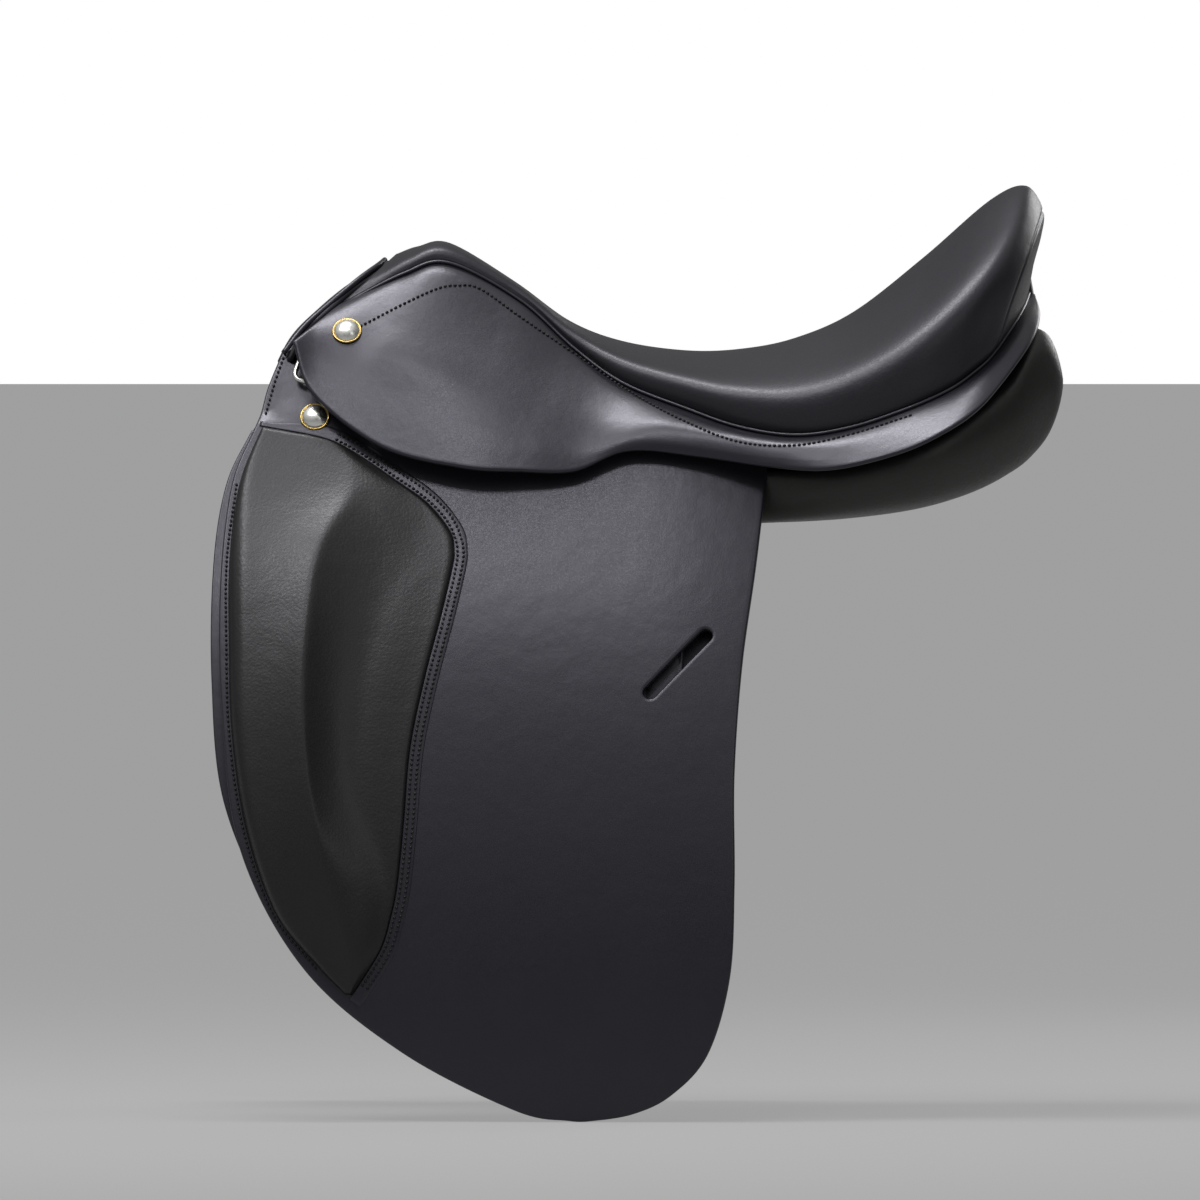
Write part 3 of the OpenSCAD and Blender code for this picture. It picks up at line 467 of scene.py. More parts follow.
def seen_rays(tree, other):
    """Share of a plain backdrop: all for camera rays, part for rays off metal and leather."""
    rays = add(tree, "ShaderNodeLightPath").outputs
    mirrored = combine(tree, "MAXIMUM", rays["Is Glossy Ray"], rays["Is Transmission Ray"])
    return combine(tree, "MAXIMUM", rays["Is Camera Ray"], combine(tree, "MULTIPLY", mirrored, other))


PLAIN = 0.8
paint, paint_tree, matt, _ = finish_material("studio_floor_pale_matt")
fill(paint_tree, matt, {"Base Color": hex_colour("#c4c4c4"), "Roughness": 0.9})
even = add(paint_tree, "ShaderNodeEmission", {0: hex_colour("#a8a8a8"), 1: 1.0})
plain = combine(paint_tree, "MULTIPLY", seen_rays(paint_tree, 1.0), PLAIN)
coat = add(paint_tree, "ShaderNodeMixShader", {0: plain, 1: matt.outputs[0], 2: even.outputs[0]})
fill(paint_tree, paint_tree.nodes["Material Output"], {0: coat.outputs[0]})
floor_mesh.materials.append(paint)


def area_light(name, at, aim, width, height, power):
    data = bpy.data.lights.new(name, "AREA")
    data.shape, data.size, data.size_y, data.energy = "RECTANGLE", width, height, power
    obj = put(name, data)
    obj.location = at
    obj.rotation_euler = aimed(Vector(aim) - Vector(at))


sun = put("key", bpy.data.lights.new("key", "SUN"))
sun.data.energy, sun.data.angle = 0.7, math.radians(120)
sun.rotation_euler = aimed(Vector((0.3, 0.3, -0.9)))
area_light("front", (-1.22, -0.85, 1.75), (-0.15, -0.1, 0), 0.7, 0.5, 18)
area_light("high", (-0.32, -1.35, 1.65), (0, -0.1, 0), 0.5, 0.3, 7.5)
area_light("over", (-0.4, -0.1, 1.9), (0.1, -0.1, 0), 0.6, 0.9, 32)
area_light("fill", (1.3, -2.2, 0.9), (0, -0.1, -0.05), 0.8, 0.8, 3)
area_light("rear", (1.3, 1.8, 0.8), (0, 0.1, 0), 1.0, 0.8, 11)
world = bpy.data.worlds.new("studio")
world.use_nodes = True
scene.world = world
sky = world.node_tree
WHITE = (1, 1, 1, 1)
soft, white = [add(sky, "ShaderNodeBackground", {0: WHITE, 1: power}).outputs[0] for power in (0.1, 1.0)]
sky_way = add(sky, "ShaderNodeTexCoord").outputs["Generated"]
glow = remap(sky, add(sky, "ShaderNodeSeparateXYZ", {0: sky_way}).outputs[2], 0.3, 1.0, 0.05, 0.4)
sky_mix = add(sky, "ShaderNodeMixShader", {0: seen_rays(sky, glow), 1: soft, 2: white})
fill(sky, sky.nodes["World Output"], {0: sky_mix.outputs[0]})
print("camera", tuple(round(c, 3) for c in camera.location))

# %% [markdown]
# ## Seat
# The seat is soft leather drawn down wet over foam on the tree and pulled tight into the seam. It is one
# closed pad here, so that its curve runs unbroken: the model's net of points, a roll where the leather
# tucks into the seam, and a pressed line where the cantle piece is sewn on.

# %% Seat
SEAT_ROWS = [
    [(-191, 56, 145), (-157, 176), (0.88, 0.50, 0.52, 0.88)],
    [(-152, 53, 165), (-143, 181), (0.88, 0.52, 0.52, 0.90)],
    [(-123, 51, 172), (-122, 183), (0.88, 0.55, 0.52, 0.90)],
    [(-77, 54, 148), (-80, 158), (0.90, 0.55, 0.55, 0.90)],
    [(-42, 66, 117), (-45, 133), (0.92, 0.55, 0.58, 0.88)],
    [(-11, 82, 95), (-11, 120), (0.95, 0.52, 0.60, 0.84)],
    [(29, 99, 79), (30, 114), (0.97, 0.50, 0.62, 0.80)],
    [(64, 114, 67), (65, 115), (0.98, 0.48, 0.62, 0.78)],
    [(100, 127, 62), (100, 122), (0.98, 0.46, 0.62, 0.76)],
    [(135, 135, 67), (138, 139), (0.98, 0.46, 0.62, 0.74)],
    [(171, 137, 79), (183, 174), (0.97, 0.46, 0.60, 0.74)],
    [(198, 130, 91), (226, 211), (0.94, 0.48, 0.57, 0.78)],
    [(214, 120, 102), (249, 220), (0.90, 0.50, 0.54, 0.82)],
    [(226, 107, 113), (260, 204), (0.86, 0.52, 0.50, 0.86)],
    [(239, 82, 131), (259, 189), (0.84, 0.54, 0.48, 0.88)],
    [(247, 52, 144), (255, 176), (0.84, 0.56, 0.48, 0.90)],
    [(251, 12, 153), (252, 160), (0.84, 0.56, 0.48, 0.90)]]
DROPS = [(0, 0, -1)] * 11 + [(-0.25, 0, -0.95), (-0.55, 0, -0.8), (-1, 0, -0.3)] + [(-1, 0, 0)] * 3
SEAM = np.array([(x, -y, z) for (x, y, z), _, _ in SEAT_ROWS], float)
CANTLE_ROW = 13


def seat_row(k):
    """One row of the seat's net, from seam to seam."""
    seam, (middle_x, middle_z), (w1, h1, w2, h2) = SEAM[k], *SEAT_ROWS[k][1:]

    def part(w, h):
        return [seam[0] + (middle_x - seam[0]) * h, seam[1] * w, seam[2] + (middle_z - seam[2]) * h]

    half = [list(seam), part(w1, h1), part(w2, h2), [middle_x, 0, middle_z]]
    return half + [[x, -y, z] for x, y, z in half[2::-1]]


SEAT_NET = np.array([seat_row(k) for k in range(len(SEAT_ROWS))])


def sunk_net(depth):
    """The seat's net lowered towards the tree and drawn in, for the layers under it."""
    net = SEAT_NET + depth * np.array(DROPS, float)[:, None]
    draw = np.minimum(0.5, 0.8 * depth / -SEAM[:, 1])
    net[:, :, 1] = SEAT_NET[:, :, 1] * (1 - draw)[:, None]
    return net


ROLL_HEIGHT, ROLL_WIDTH, SEAT_DEEP = 2.0, 8, 14
PRESSED, PRESSED_WIDTH, PUFF, PUFF_AT, PUFF_WIDTH = 0.9, 1.2, 0.25, -5, 4
near_cantle = CANTLE_ROW + np.linspace(-0.2, 0.2, 9)
rows = np.unique(np.concatenate([np.linspace(0, 16, 161), near_cantle]).round(4))
columns = np.linspace(0, 6, 97)
seat_top = surface(SEAT_NET, rows, columns)
across = lengths(np.swapaxes(seat_top, 0, 1)).T
tuck = np.minimum(across, across[:, -1:] - across) / ROLL_WIDTH
along = lengths(seat_top)
from_cantle = along - along[np.searchsorted(rows, CANTLE_ROW)]
roll = ROLL_HEIGHT * tuck * np.exp(1 - tuck)
puff = PUFF * np.exp(-((from_cantle - PUFF_AT) / PUFF_WIDTH) ** 2)
groove = PRESSED * np.exp(-(from_cantle / PRESSED_WIDTH) ** 2) - puff
fade = (smooth(rows / 1.5) * smooth((16 - rows) / 4))[:, None]
seat_top = seat_top + normals(seat_top) * (roll * fade - groove)[..., None]
seat = piece("seat", *between(seat_top, surface(sunk_net(SEAT_DEEP), rows, columns)), SEAT)
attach(seat, "saddle")
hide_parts("seat_cover", "cantle_facing", "seat_foam")
print("seat", len(seat.data.polygons), "faces")

# %% [markdown]
# ## Welt
# A thin cord in leather fills the seam between seat and skirt. It is sewn in flat and stands out when the
# seam is drawn tight, so it is one tube along the seam.

# %% Welt
WELT, WELT_OUT, WELT_DOWN = 1.2, 0.5, 1.5
cord = tube(curve(SEAM + [0, -WELT_OUT, -WELT_DOWN], 200), WELT)
for name, obj in both("welt_cord", cord, BRIDLE).items():
    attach(obj, "saddle")
    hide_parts(name + "_welt")
print("welts", len(cord[1]), "faces each")

# %% [markdown]
# ## Skirts
# Each skirt is one piece of stout leather from the seat seam down over the stirrup bar. Its front lifts to
# put on the stirrup leather along the lift line; the line's axis is worked out here, but the piece is one
# fixed mesh and does not bend. It is cut flat and blocked wet over the bar, so it is a net of points, with a
# rolled edge and a soft fold from the nail.

# %% Skirts
SKIRT_ROWS = [
    ((-222, 88, 121), 1), ((-210, 102, 87), 3), ((-166, 120.5, 53), 7), ((-115, 132, 40), 10.5),
    ((-77, 133, 37.5), 11), ((-42, 130, 37.5), 9.5), ((-7, 125, 50), 10), ((38, 129, 46), 9.5),
    ((83, 141, 40), 7), ((122, 154, 39), 4), ((166, 163, 50), 2), ((196, 160, 64), 1.5),
    ((217, 147, 78), 2), ((233, 125, 95), 2), ((252, 90, 121), 2), ((258, 53, 137), 2), ((255, 14, 150), 1)]
EDGE = np.array([(x, -y, z) for (x, y, z), _ in SKIRT_ROWS], float)
TOP = SEAM + [0, -1.0, -2 * WELT_DOWN]
TOP[0] += [-4, -1, 1]
LIFT = np.array([(-219, -87, 118), (0, -130, 49)], float)
OUTWARD = np.array([0, -1, 0.5]) / math.hypot(1, 0.5)
SHOULDER, SKIRT_BEND = 10.0, 9
PULL, PULL_HEIGHT, PULL_WIDTH = np.array([(-184, 121), (-112, 92)], float), 1.6, 15.0


def skirt_row(k):
    """One row of the skirt's net, from the seam to the edge."""
    top, edge, bulge = TOP[k], EDGE[k], OUTWARD * SKIRT_ROWS[k][1]
    shoulder = min(0.22, SHOULDER / np.linalg.norm(edge - top))
    shares = ((0, 0), (shoulder, 0.66), (0.45, 0.86), (0.76, 0.54), (1, 0))
    return [top + down * (edge - top) + out * bulge for down, out in shares]


SKIRT_NET = np.array([skirt_row(k) for k in range(len(SKIRT_ROWS))])
ROLLED = np.array([(0, -1.4), (0.4, -0.7), (1.0, -0.2), (1.9, 0), (3.4, 0), (6.5, 0)])
FIRST_ROW, NARROW, SKIRT_LONG, SKIRT_DOWN = 30, 14, 158, 26
places = np.concatenate([ROLLED[:, 0] / FIRST_ROW, np.linspace(0.3, 16, SKIRT_LONG)])
skirt_top = []
for row in surface(SKIRT_NET, places, np.linspace(0, 4, 121)):
    from_edge = lengths(row)[-1] - lengths(row)
    edge = ROLLED[:, 0] * min(1, from_edge[0] / NARROW)
    face = edge[-1] + (from_edge[0] - edge[-1]) * np.linspace(0, 1, SKIRT_DOWN + 1)[1:]
    want = np.concatenate([edge, face])[::-1]
    skirt_top.append(np.stack([np.interp(-want, -from_edge, row[:, k]) for k in range(3)], 1))
skirt_top = np.array(skirt_top)
low_edge = np.concatenate([np.zeros(SKIRT_DOWN), ROLLED[::-1, 1]])
skived = np.concatenate([np.linspace(4.0, 3.2, SKIRT_DOWN), np.linspace(3.0, 2.2, len(ROLLED))])
front_edge = np.concatenate([ROLLED[:, 1], np.zeros(SKIRT_LONG)])
inward = normals(skirt_top)
fold_long = np.linalg.norm(PULL[1] - PULL[0])
fold_way = (PULL[1] - PULL[0]) / fold_long
from_nail = skirt_top[..., [0, 2]] - PULL[0]
down_fold = from_nail @ fold_way / fold_long
off_fold = from_nail @ np.array([-fold_way[1], fold_way[0]])
pull = PULL_HEIGHT * np.exp(-(off_fold / PULL_WIDTH) ** 2)
pull = pull * smooth(down_fold / 0.3) * smooth((1.3 - down_fold) / 0.8)
skirt_top = skirt_top - inward * pull[..., None]
skirt_out = skirt_top - inward * np.minimum(low_edge[None], front_edge[:, None])[..., None]
skirt_in = skirt_top + inward * skived[None, :, None]
skirts = both("skirt_leather", between(skirt_out, skirt_in), BRIDLE)
lift_axis = unit(LIFT[1] - LIFT[0])
lift_down = np.array([0, -0.55, -0.84])
lift_down = unit(lift_down - lift_axis * (lift_axis @ lift_down))


def bend(obj, side):
    """Sets a piece's place into its mesh and leaves it fixed; nothing bends."""
    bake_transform(obj)


for name, obj in skirts.items():
    bend(obj, name)
    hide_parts(name + "_skirt", name + "_skirt_lip")
print("skirts", len(skirts["left"].data.polygons), "faces each")

# %% [markdown]
# ## Flaps
# A flap is cut from one hide: its top is sewn under the skirt and the rest hangs free from a straight fold
# line just under the skirt. That line is worked out here, but the flap is one fixed mesh and does not bend
# there. It leans with the horse's side and then curves round the barrel. A plain slot near the rear edge
# keeps the end of the stirrup leather.

# %% The side of the saddle
LEAN, FLARE = math.radians(26.5), math.radians(3)
LEAN_COS, LEAN_SIN = math.cos(LEAN), math.sin(LEAN)
FLARE_COS, FLARE_SIN = math.cos(FLARE), math.sin(FLARE)
HALF_SPREAD, BARREL, BEND_Z = 138.0, 660.0, -24.0
FLAP_THICK, SWEAT_THICK = 4.5, 3.0
WEB_OUT = -12.6
SWEAT_OUT = WEB_OUT - 1.9


def side(points, out=0.0):
    """Places points (x, z) on the outer face of the left flap, moved out along its normal."""
    x, z = points[..., 0], points[..., 1]
    drop = np.minimum(z - BEND_Z, 0)
    a = np.arcsin(np.clip(LEAN_SIN + drop / BARREL, -1, 1))
    outset = -math.tan(LEAN) * np.maximum(z, BEND_Z) + BARREL * (np.cos(a) - LEAN_COS)
    y = -(HALF_SPREAD + math.tan(FLARE) * x + outset / FLARE_COS)
    level = out * np.cos(a)
    return np.stack([x - level * FLARE_SIN, y - level * FLARE_COS, z + out * np.sin(a)], -1)


AXES = np.array([[FLARE_COS, -FLARE_SIN, 0], [LEAN_SIN * FLARE_SIN, LEAN_SIN * FLARE_COS, LEAN_COS],
                 [-LEAN_COS * FLARE_SIN, -LEAN_COS * FLARE_COS, LEAN_SIN]])
print("side leans", round(math.degrees(LEAN), 1), "degrees")

# %% Flaps
FRONT_EDGE = [
    (-229, 117), (-239, 93), (-246, 68), (-262, 28), (-269, -40), (-267, -120), (-255, -205),
    (-214.5, -280), (-152, -333), (-80, -370), (-46, -376.5), (-30, -376.5), (-4, -372), (20, -360),
    (43, -334), (57, -285), (60, -225), (60, -155), (65, -85), (74, -20), (82, 46)]
HEAD_TOP = [(82, 46), (12, 60), (-28, 62), (-60, 74), (-110, 94), (-150, 106), (-190, 112), (-229, 117)]
FOLD = np.array([(-246, 68), (74, -20)], float)
KEEPER, KEEPER_LENGTH, KEEPER_WIDTH, KEEPER_ANGLE = np.array([24.0, -85.0]), 62.0, 9.0, math.radians(48)
HEAD_TURN, REAR_CURL, FLAP_BEND = 4.0, 4.0, 6
ends = circle(48)
keeper = KEEPER_WIDTH / 2 * ends
keeper[:, 0] += np.sign(ends[:, 0] + 1e-9) * (KEEPER_LENGTH - KEEPER_WIDTH) / 2
keeper_cos, keeper_sin = math.cos(KEEPER_ANGLE), math.sin(KEEPER_ANGLE)
keeper = keeper @ np.array([[keeper_cos, keeper_sin], [-keeper_sin, keeper_cos]])
keeper = keeper * [1, math.cos(LEAN * 0.8)] + KEEPER
keeper = resample(np.concatenate([keeper, keeper[:1]]), 1.2)[:-1]


def flap_place(points, out):
    """The flap's face, its head and its rear edge turned in towards the horse."""
    x, z = points[:, 0], points[:, 1]
    turned = HEAD_TURN * smooth((-198 - x) / 40) ** 1.5 * smooth((z - 66) / 12)
    curled = REAR_CURL * np.clip(x / 70, 0, 1.2) ** 2
    return side(points, out - turned - curled)


flap_sheet = cut(outline(FRONT_EDGE, HEAD_TOP), flap_place, FLAP_THICK, [keeper], roll=1.2)
flaps = both("flap_leather", flap_sheet, BRIDLE)
fold_ends = side(FOLD)
fold_down = np.cross(unit(fold_ends[1] - fold_ends[0]), AXES[2])
fold_down *= -np.sign(fold_down[2])


def hang(obj, side):
    bend(obj, side)


for name, obj in flaps.items():
    hang(obj, name)
    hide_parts(name + "_flap", name + "_flap_head")
print("flaps", len(flap_sheet[1]), "faces each")

# %% [markdown]
# ## Knee blocks
# The block is foam under soft leather, high at a crest near the front and hollowed behind it for the thigh.
# A narrow strip with two rows of thread sews it to the flap. The leather is drawn tight over shaped foam,
# so the pad is one smooth height over the flap.

# %% Knee blocks
KNEE_FRONT = [
    (-243, 63), (-257, 28), (-263, -20), (-263, -75), (-261, -130), (-252, -190), (-233, -244),
    (-206, -278), (-188, -296)]
KNEE_REAR = [
    (-186, 47), (-138, 20), (-120, -8), (-124, -45), (-139, -100), (-149, -170), (-155, -225),
    (-165, -264), (-183, -297)]
CREST = [3, 9, 18, 22, 23, 20, 13, 9, 4]
CREST_PLACE = [0.78, 0.62, 0.42, 0.37, 0.38, 0.43, 0.48, 0.50, 0.50]
CREST_FALL = [0.60, 0.50, 0.46, 0.38, 0.34, 0.34, 0.50, 0.50, 0.50]
BORDER = [
    (-244, 66), (-204, 58), (-184, 49), (-157, 31), (-136, 16), (-121.5, -2), (-119, -14), (-120, -24),
    (-127, -54), (-138, -96), (-147, -140), (-151, -187), (-155, -226), (-159, -246), (-165, -266),
    (-177, -286), (-186, -299)]
border_curve = curve(BORDER, 2000)


def on_border(points):
    """Nearest points of the sewn line round the knee block."""
    gap = np.linalg.norm(points[:, None] - border_curve[None], axis=2)
    return border_curve[np.argmin(gap, axis=1)]


PAD_LOW, PAD_THIN, PAD_SUNK, PAD_ROUND = 4.5, 2.2, -0.6, 4.0
steps, back = np.linspace(0, 8, 161), np.linspace(0, 1, 81)[None]
front, rear = spline(KNEE_FRONT, steps)[:, None], on_border(spline(KNEE_REAR, steps))[:, None]
flat = front + (rear - front) * back[..., None]
top_row = on_border(flat[0])
flat = flat + (1 - smooth(steps / 1.5))[:, None, None] * (top_row - flat[0])[None]
crest, place, fall = [spline(values, steps)[:, None] for values in (CREST, CREST_PLACE, CREST_FALL)]
ahead = 0.5 + 0.5 * (back / place) ** 1.7
past = np.clip((back - place) / fall, 0, 1)
closed = smooth((steps - 4.6) / 1.4)[:, None]
behind = (1 - closed) * (1 - past) ** 2 + closed * (1 - smooth(past))
base = PAD_LOW - PAD_THIN * smooth((back - 0.7) / 0.3)
rise = np.maximum(0, crest - 4) * smooth(0.3 + back / 0.1)
height = base + rise * np.where(back < place, ahead, behind)
for _ in range(5):
    height[1:-1, 1:-1] = (height[1:-1, 1:-1] * 2 + height[:-2, 1:-1] + height[2:, 1:-1] + height[1:-1, :-2]
                          + height[1:-1, 2:]) / 6
width = np.linalg.norm(rear - front, axis=-1)
tall = lengths(flat)
from_sides = np.minimum(back * width, (1 - back) * width)
rim = np.minimum(from_sides, np.minimum(tall, tall[-1:] - tall))
pad = side(flat, height * np.sqrt(1 - (1 - np.clip(rim / PAD_ROUND, 0, 1)) ** 2))
knees = both("knee_pad", between(pad, side(flat, np.full(height.shape, PAD_SUNK))), CALF)
for name, obj in knees.items():
    hang(obj, name)
    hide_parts(name + "_knee_cover", name + "_knee_block")

STRIP = np.array([
    (-0.2, -0.3), (0.2, 0.6), (0.9, 0.8), (2.2, 0.6), (4.1, 0.8), (6.0, 0.55), (7.6, 0.6), (8.6, 0.3),
    (9.0, -0.3)])
border_line = resample(border_curve, 2.5)
narrow = 0.35 + 0.65 * smooth(lengths(border_line) / 45)
away = turned_left(unit(np.gradient(border_line, axis=0)))


def beside(distance):
    return border_line + away * (distance * narrow)[:, None]


strip = np.stack([side(beside(d), h) for d, h in STRIP], 1)
under = np.stack([side(beside(d), PAD_SUNK) for d, _ in STRIP], 1)
borders = both("knee_border", between(strip, under), BRIDLE)
for name, obj in borders.items():
    hang(obj, name)
print("knee blocks", len(knees["left"].data.polygons), "faces each")

# %% [markdown]
# ## Sweat flaps, girth straps and webs
# Under the flap hang two long girth straps with punched holes, sewn to a web, and the sweat flap that keeps
# the straps off the horse. All are cut flat from hide or webbing, so they are sheets cut like the flap.

# %% Sweat flaps
SWEAT_FRONT = [
    (-250, 70), (-266, 36), (-274, -14), (-275, -90), (-267, -170), (-236, -240), (-190, -290),
    (-150, -310), (-95, -314), (-45, -302), (-2, -272), (24, -230), (38, -180), (47, -120), (49, -60),
    (44, -8)]
SWEAT_TOP = [(44, -8), (-105, 31), (-250, 70)]


def sweat_place(points, out):
    return side(points, out + SWEAT_OUT)


sweat_sheet = cut(outline(SWEAT_FRONT, SWEAT_TOP, step=5), sweat_place, SWEAT_THICK, spacing=10, roll=1.0)
sweats = both("sweat_flap_leather", sweat_sheet, BRIDLE)
for name, obj in sweats.items():
    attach(obj, "saddle")
    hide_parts(name + "_sweat_flap")
print("sweat flaps", len(sweat_sheet[1]), "faces each")

# %% Girth straps
STRAP_WIDTH, STRAP_THICK, STRAP_LENGTH, STRAP_TOP, TAPER = 26.0, 4.0, 370.0, 22.0, 9.0
HOLE, HOLE_PITCH, FIRST_HOLE, HOLES = 2.5, 25.0, 25.0, 8
STRAP_OUT = WEB_OUT + 0.3 + STRAP_THICK
WEB_LEFT, WEB_RIGHT, WEB_LOW, WEB_TOP, WEB_THICK = -95.0, 33.0, 8.0, 36.0, 1.6
ORIGIN = side(np.array([0.0, 0.0]))
BEND_Y = BEND_Z / LEAN_COS


def on_plane(x, y, out):
    """Places points on the plane of the flap's top, moved out along its normal."""
    return ORIGIN + x[..., None] * AXES[0] + y[..., None] * AXES[1] + out[..., None] * AXES[2]


def strap_place(at):
    """Places a strap: straight down to the bend, then round the barrel."""
    def place(p, h):
        down = STRAP_TOP - BEND_Y - p[:, 1]
        theta = np.maximum(-down, 0) / BARREL
        out = STRAP_OUT + h
        y = np.where(down > 0, BEND_Y + down, BEND_Y - (BARREL + out) * np.sin(theta))
        return on_plane(p[:, 0] + at, y, np.where(down > 0, out, (BARREL + out) * np.cos(theta) - BARREL))
    return place


half, tip = STRAP_WIDTH / 2, STRAP_LENGTH - TAPER
strap_loop = polygon((-half, 0), (half, 0), (half, tip), (TAPER / 2, STRAP_LENGTH),
                     (-TAPER / 2, STRAP_LENGTH), (-half, tip))
hole_ring = HOLE * circle(16)
punched = [hole_ring + [0, STRAP_LENGTH - FIRST_HOLE - k * HOLE_PITCH] for k in range(HOLES)]
for which, at in (("front", -78.0), ("rear", 16.0)):
    made = cut(strap_loop, strap_place(at), STRAP_THICK, punched, spacing=7, roll=0.9, crease=2.6)
    for name, obj in both(which + "_girth_strap", made, BRIDLE).items():
        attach(obj, f"{name}_{which}_billet")
        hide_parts(f"{name}_{which}_billet")


def web_place(points, out):
    return on_plane(points[:, 0], points[:, 1], out + WEB_OUT)


web_loop = polygon((WEB_LEFT, WEB_LOW), (WEB_RIGHT, WEB_LOW), (WEB_RIGHT, WEB_TOP), (WEB_LEFT, WEB_TOP))
made = cut(web_loop, web_place, WEB_THICK, roll=0.5)
for name, obj in both("girth_webbing", made, WEBBING).items():
    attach(obj, "saddle")
    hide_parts(name + "_girth_web")
print("holes in each girth strap", HOLES)

# %% [markdown]
# ## Panels
# Two long cushions of soft leather, stuffed with flock, lie on the horse. They are thin in front, under the
# flap, and swell to a full round pad behind. Each is one closed form through the same rings as the model,
# with a rounded nose in front.

# %% Panels
PANEL_RINGS = [
    (-226, [(14, 62), (28, 48), (38, 42), (40, 54), (33, 72), (25, 82), (18, 84), (13, 74)]),
    (-200, [(8, 74), (28, 42), (52, 20), (57, 28), (41, 60), (26, 88), (12, 100), (5, 90)]),
    (-150, [(4, 74), (32, 37), (59, 12), (63, 22), (45, 58), (27, 90), (9, 106), (2, 92)]),
    (-80, [(2, 66), (36, 27), (66, 5), (70, 15), (55, 46), (37, 72), (9, 90), (0, 78)]),
    (0, [(2, 46), (40, 14), (70, 1), (74, 12), (63, 36), (42, 52), (10, 68), (0, 58)]),
    (70, [(2, 36), (44, 9), (72, 4), (80, 18), (78, 37), (62, 32), (10, 58), (0, 48)]),
    (130, [(2, 36), (46, 9), (80, 9), (96, 24), (93, 40), (72, 31), (10, 63), (0, 50)]),
    (190, [(2, 48), (44, 18), (74, 20), (94, 40), (91, 58), (72, 50), (10, 84), (0, 68)]),
    (235, [(3, 72), (30, 37), (54, 39), (69, 64), (62, 91), (34, 104), (10, 111), (0, 92)]),
    (250, [(4, 86), (24, 48), (44, 50), (56, 76), (50, 106), (28, 125), (10, 126), (2, 104)]),
    (262, [(6, 94), (19, 63), (33, 62), (42, 86), (36, 112), (22, 124), (10, 122), (4, 108)]),
    (271, [(16, 91), (21, 85), (26, 85), (28, 91), (27, 98), (22, 102), (17, 100), (15, 96)]),
    (272, [(19, 93), (21, 91), (23, 91), (24, 93), (24, 95), (22, 96), (20, 96), (19, 95)])]
GULLET = 70.0
NOSE = [(0.12, -4.0), (0.55, -3.4), (0.85, -1.8)]


def panel_ring(x, ring):
    lean = 0.55 * smooth((-80 - x) / 120)
    return [(x + lean * (z - 62), -(GULLET / 2 + d), z) for d, z in ring]


body = [np.array(panel_ring(*r)) for r in PANEL_RINGS]
middle = body[0].mean(0)
nose = [middle + (body[0] - middle) * size + [ahead, 0, 0] for size, ahead in NOSE]
PANEL_LONG, PANEL_ROUND = 141, 56
rings = np.array([loop_curve(r, PANEL_ROUND) for r in paced_curve(nose + body, PANEL_LONG)])
for name, obj in both("panel_cushion", loft(rings), PANEL).items():
    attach(obj, "saddle")
    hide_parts(name + "_panel")
print("panels", rings.shape)

# %% [markdown]
# ## Front arch and gullet lining
# A leather roll closes the front of the arch over the withers. From it the facing of the head runs back to
# the seat, with a thin piping across it. A small tab covers the seam in the middle of the cantle. Each is
# sewn to its neighbours, so each is drawn from their lines. Canvas, glued in, lines the channel between the
# panels.

# %% Front arch and lining
FACING = np.array([
    (-230, -57, 102), (-219.5, -51, 121.3), (-203.5, -44, 137.3), (-187, -34, 151), (-171, -18, 161),
    (-166, 0, 165)])
ARCH_LONG, ARCH_THIN, ARCH_WIDE, ARCH_FRONT = 101, 5, 9, np.array([-0.62, 0, 0.78])
arch = curve(np.concatenate([FACING, FACING[-2::-1] * MIRROR]), ARCH_LONG)
arch_way = unit(np.gradient(arch, axis=0))
arch_out = unit(ARCH_FRONT - arch_way * (arch_way @ ARCH_FRONT)[:, None])
arch_side = np.cross(arch_way, arch_out)
arch_turn = circle(24)
from_end = np.minimum(np.arange(ARCH_LONG), np.arange(ARCH_LONG)[::-1])
slim = np.sqrt(np.clip(from_end / 2, 0.15, 1))[:, None, None]
arch_rings = ARCH_THIN * arch_out[:, None] * arch_turn[:, :1]
arch_rings = arch_rings + ARCH_WIDE * arch_side[:, None] * arch_turn[:, 1:]
facing = piece("pommel_roll", *loft(arch[:, None] + slim * arch_rings), BRIDLE)
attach(facing, "saddle")
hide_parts("pommel_facing")

HEAD_SINK, HEAD_THICK = [0, 0, -2.0], [2.5, 0, -2.5]
PIPING, PIPING_SHARE, PIPING_LIFT = 1.8, 0.45, [-2.4, 0, 2.2]
inner = paced_curve(FACING, 60)
outer = paced_curve(np.concatenate([[EDGE[0]], [TOP[0]], SEAT_NET[0, 1:4]]), 60)
head_share = np.linspace(0, 1, 13)[None, :, None]
head = inner[:, None] + (outer - inner)[:, None] * head_share + HEAD_SINK
half_piping = inner + PIPING_SHARE * (outer - inner) + PIPING_LIFT
whole_piping = np.concatenate([half_piping, half_piping[-2::-1] * MIRROR])
head_piping = piece("head_piping", *tube(whole_piping, PIPING), BRIDLE)
heads = both("head_facing", between(head, head + HEAD_THICK), BRIDLE)
for obj in (*heads.values(), head_piping):
    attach(obj, "saddle")

TAB_HALF, TAB_TOP, TAB_FOOT, TAB_BACK = 15.0, 168.0, 141.0, 252.3
TAB_MIDDLE, TAB_SLOPE, TAB_CURVE = 160, 0.18, 220
LINING_DEPTHS = (30.6, 31.8)


def tab_place(points, out):
    """A small tongue of leather over the middle of the cantle seam."""
    y, z = points[:, 0], points[:, 1]
    return np.stack([TAB_BACK + TAB_SLOPE * (TAB_MIDDLE - z) - y ** 2 / TAB_CURVE + out, y, z], 1)


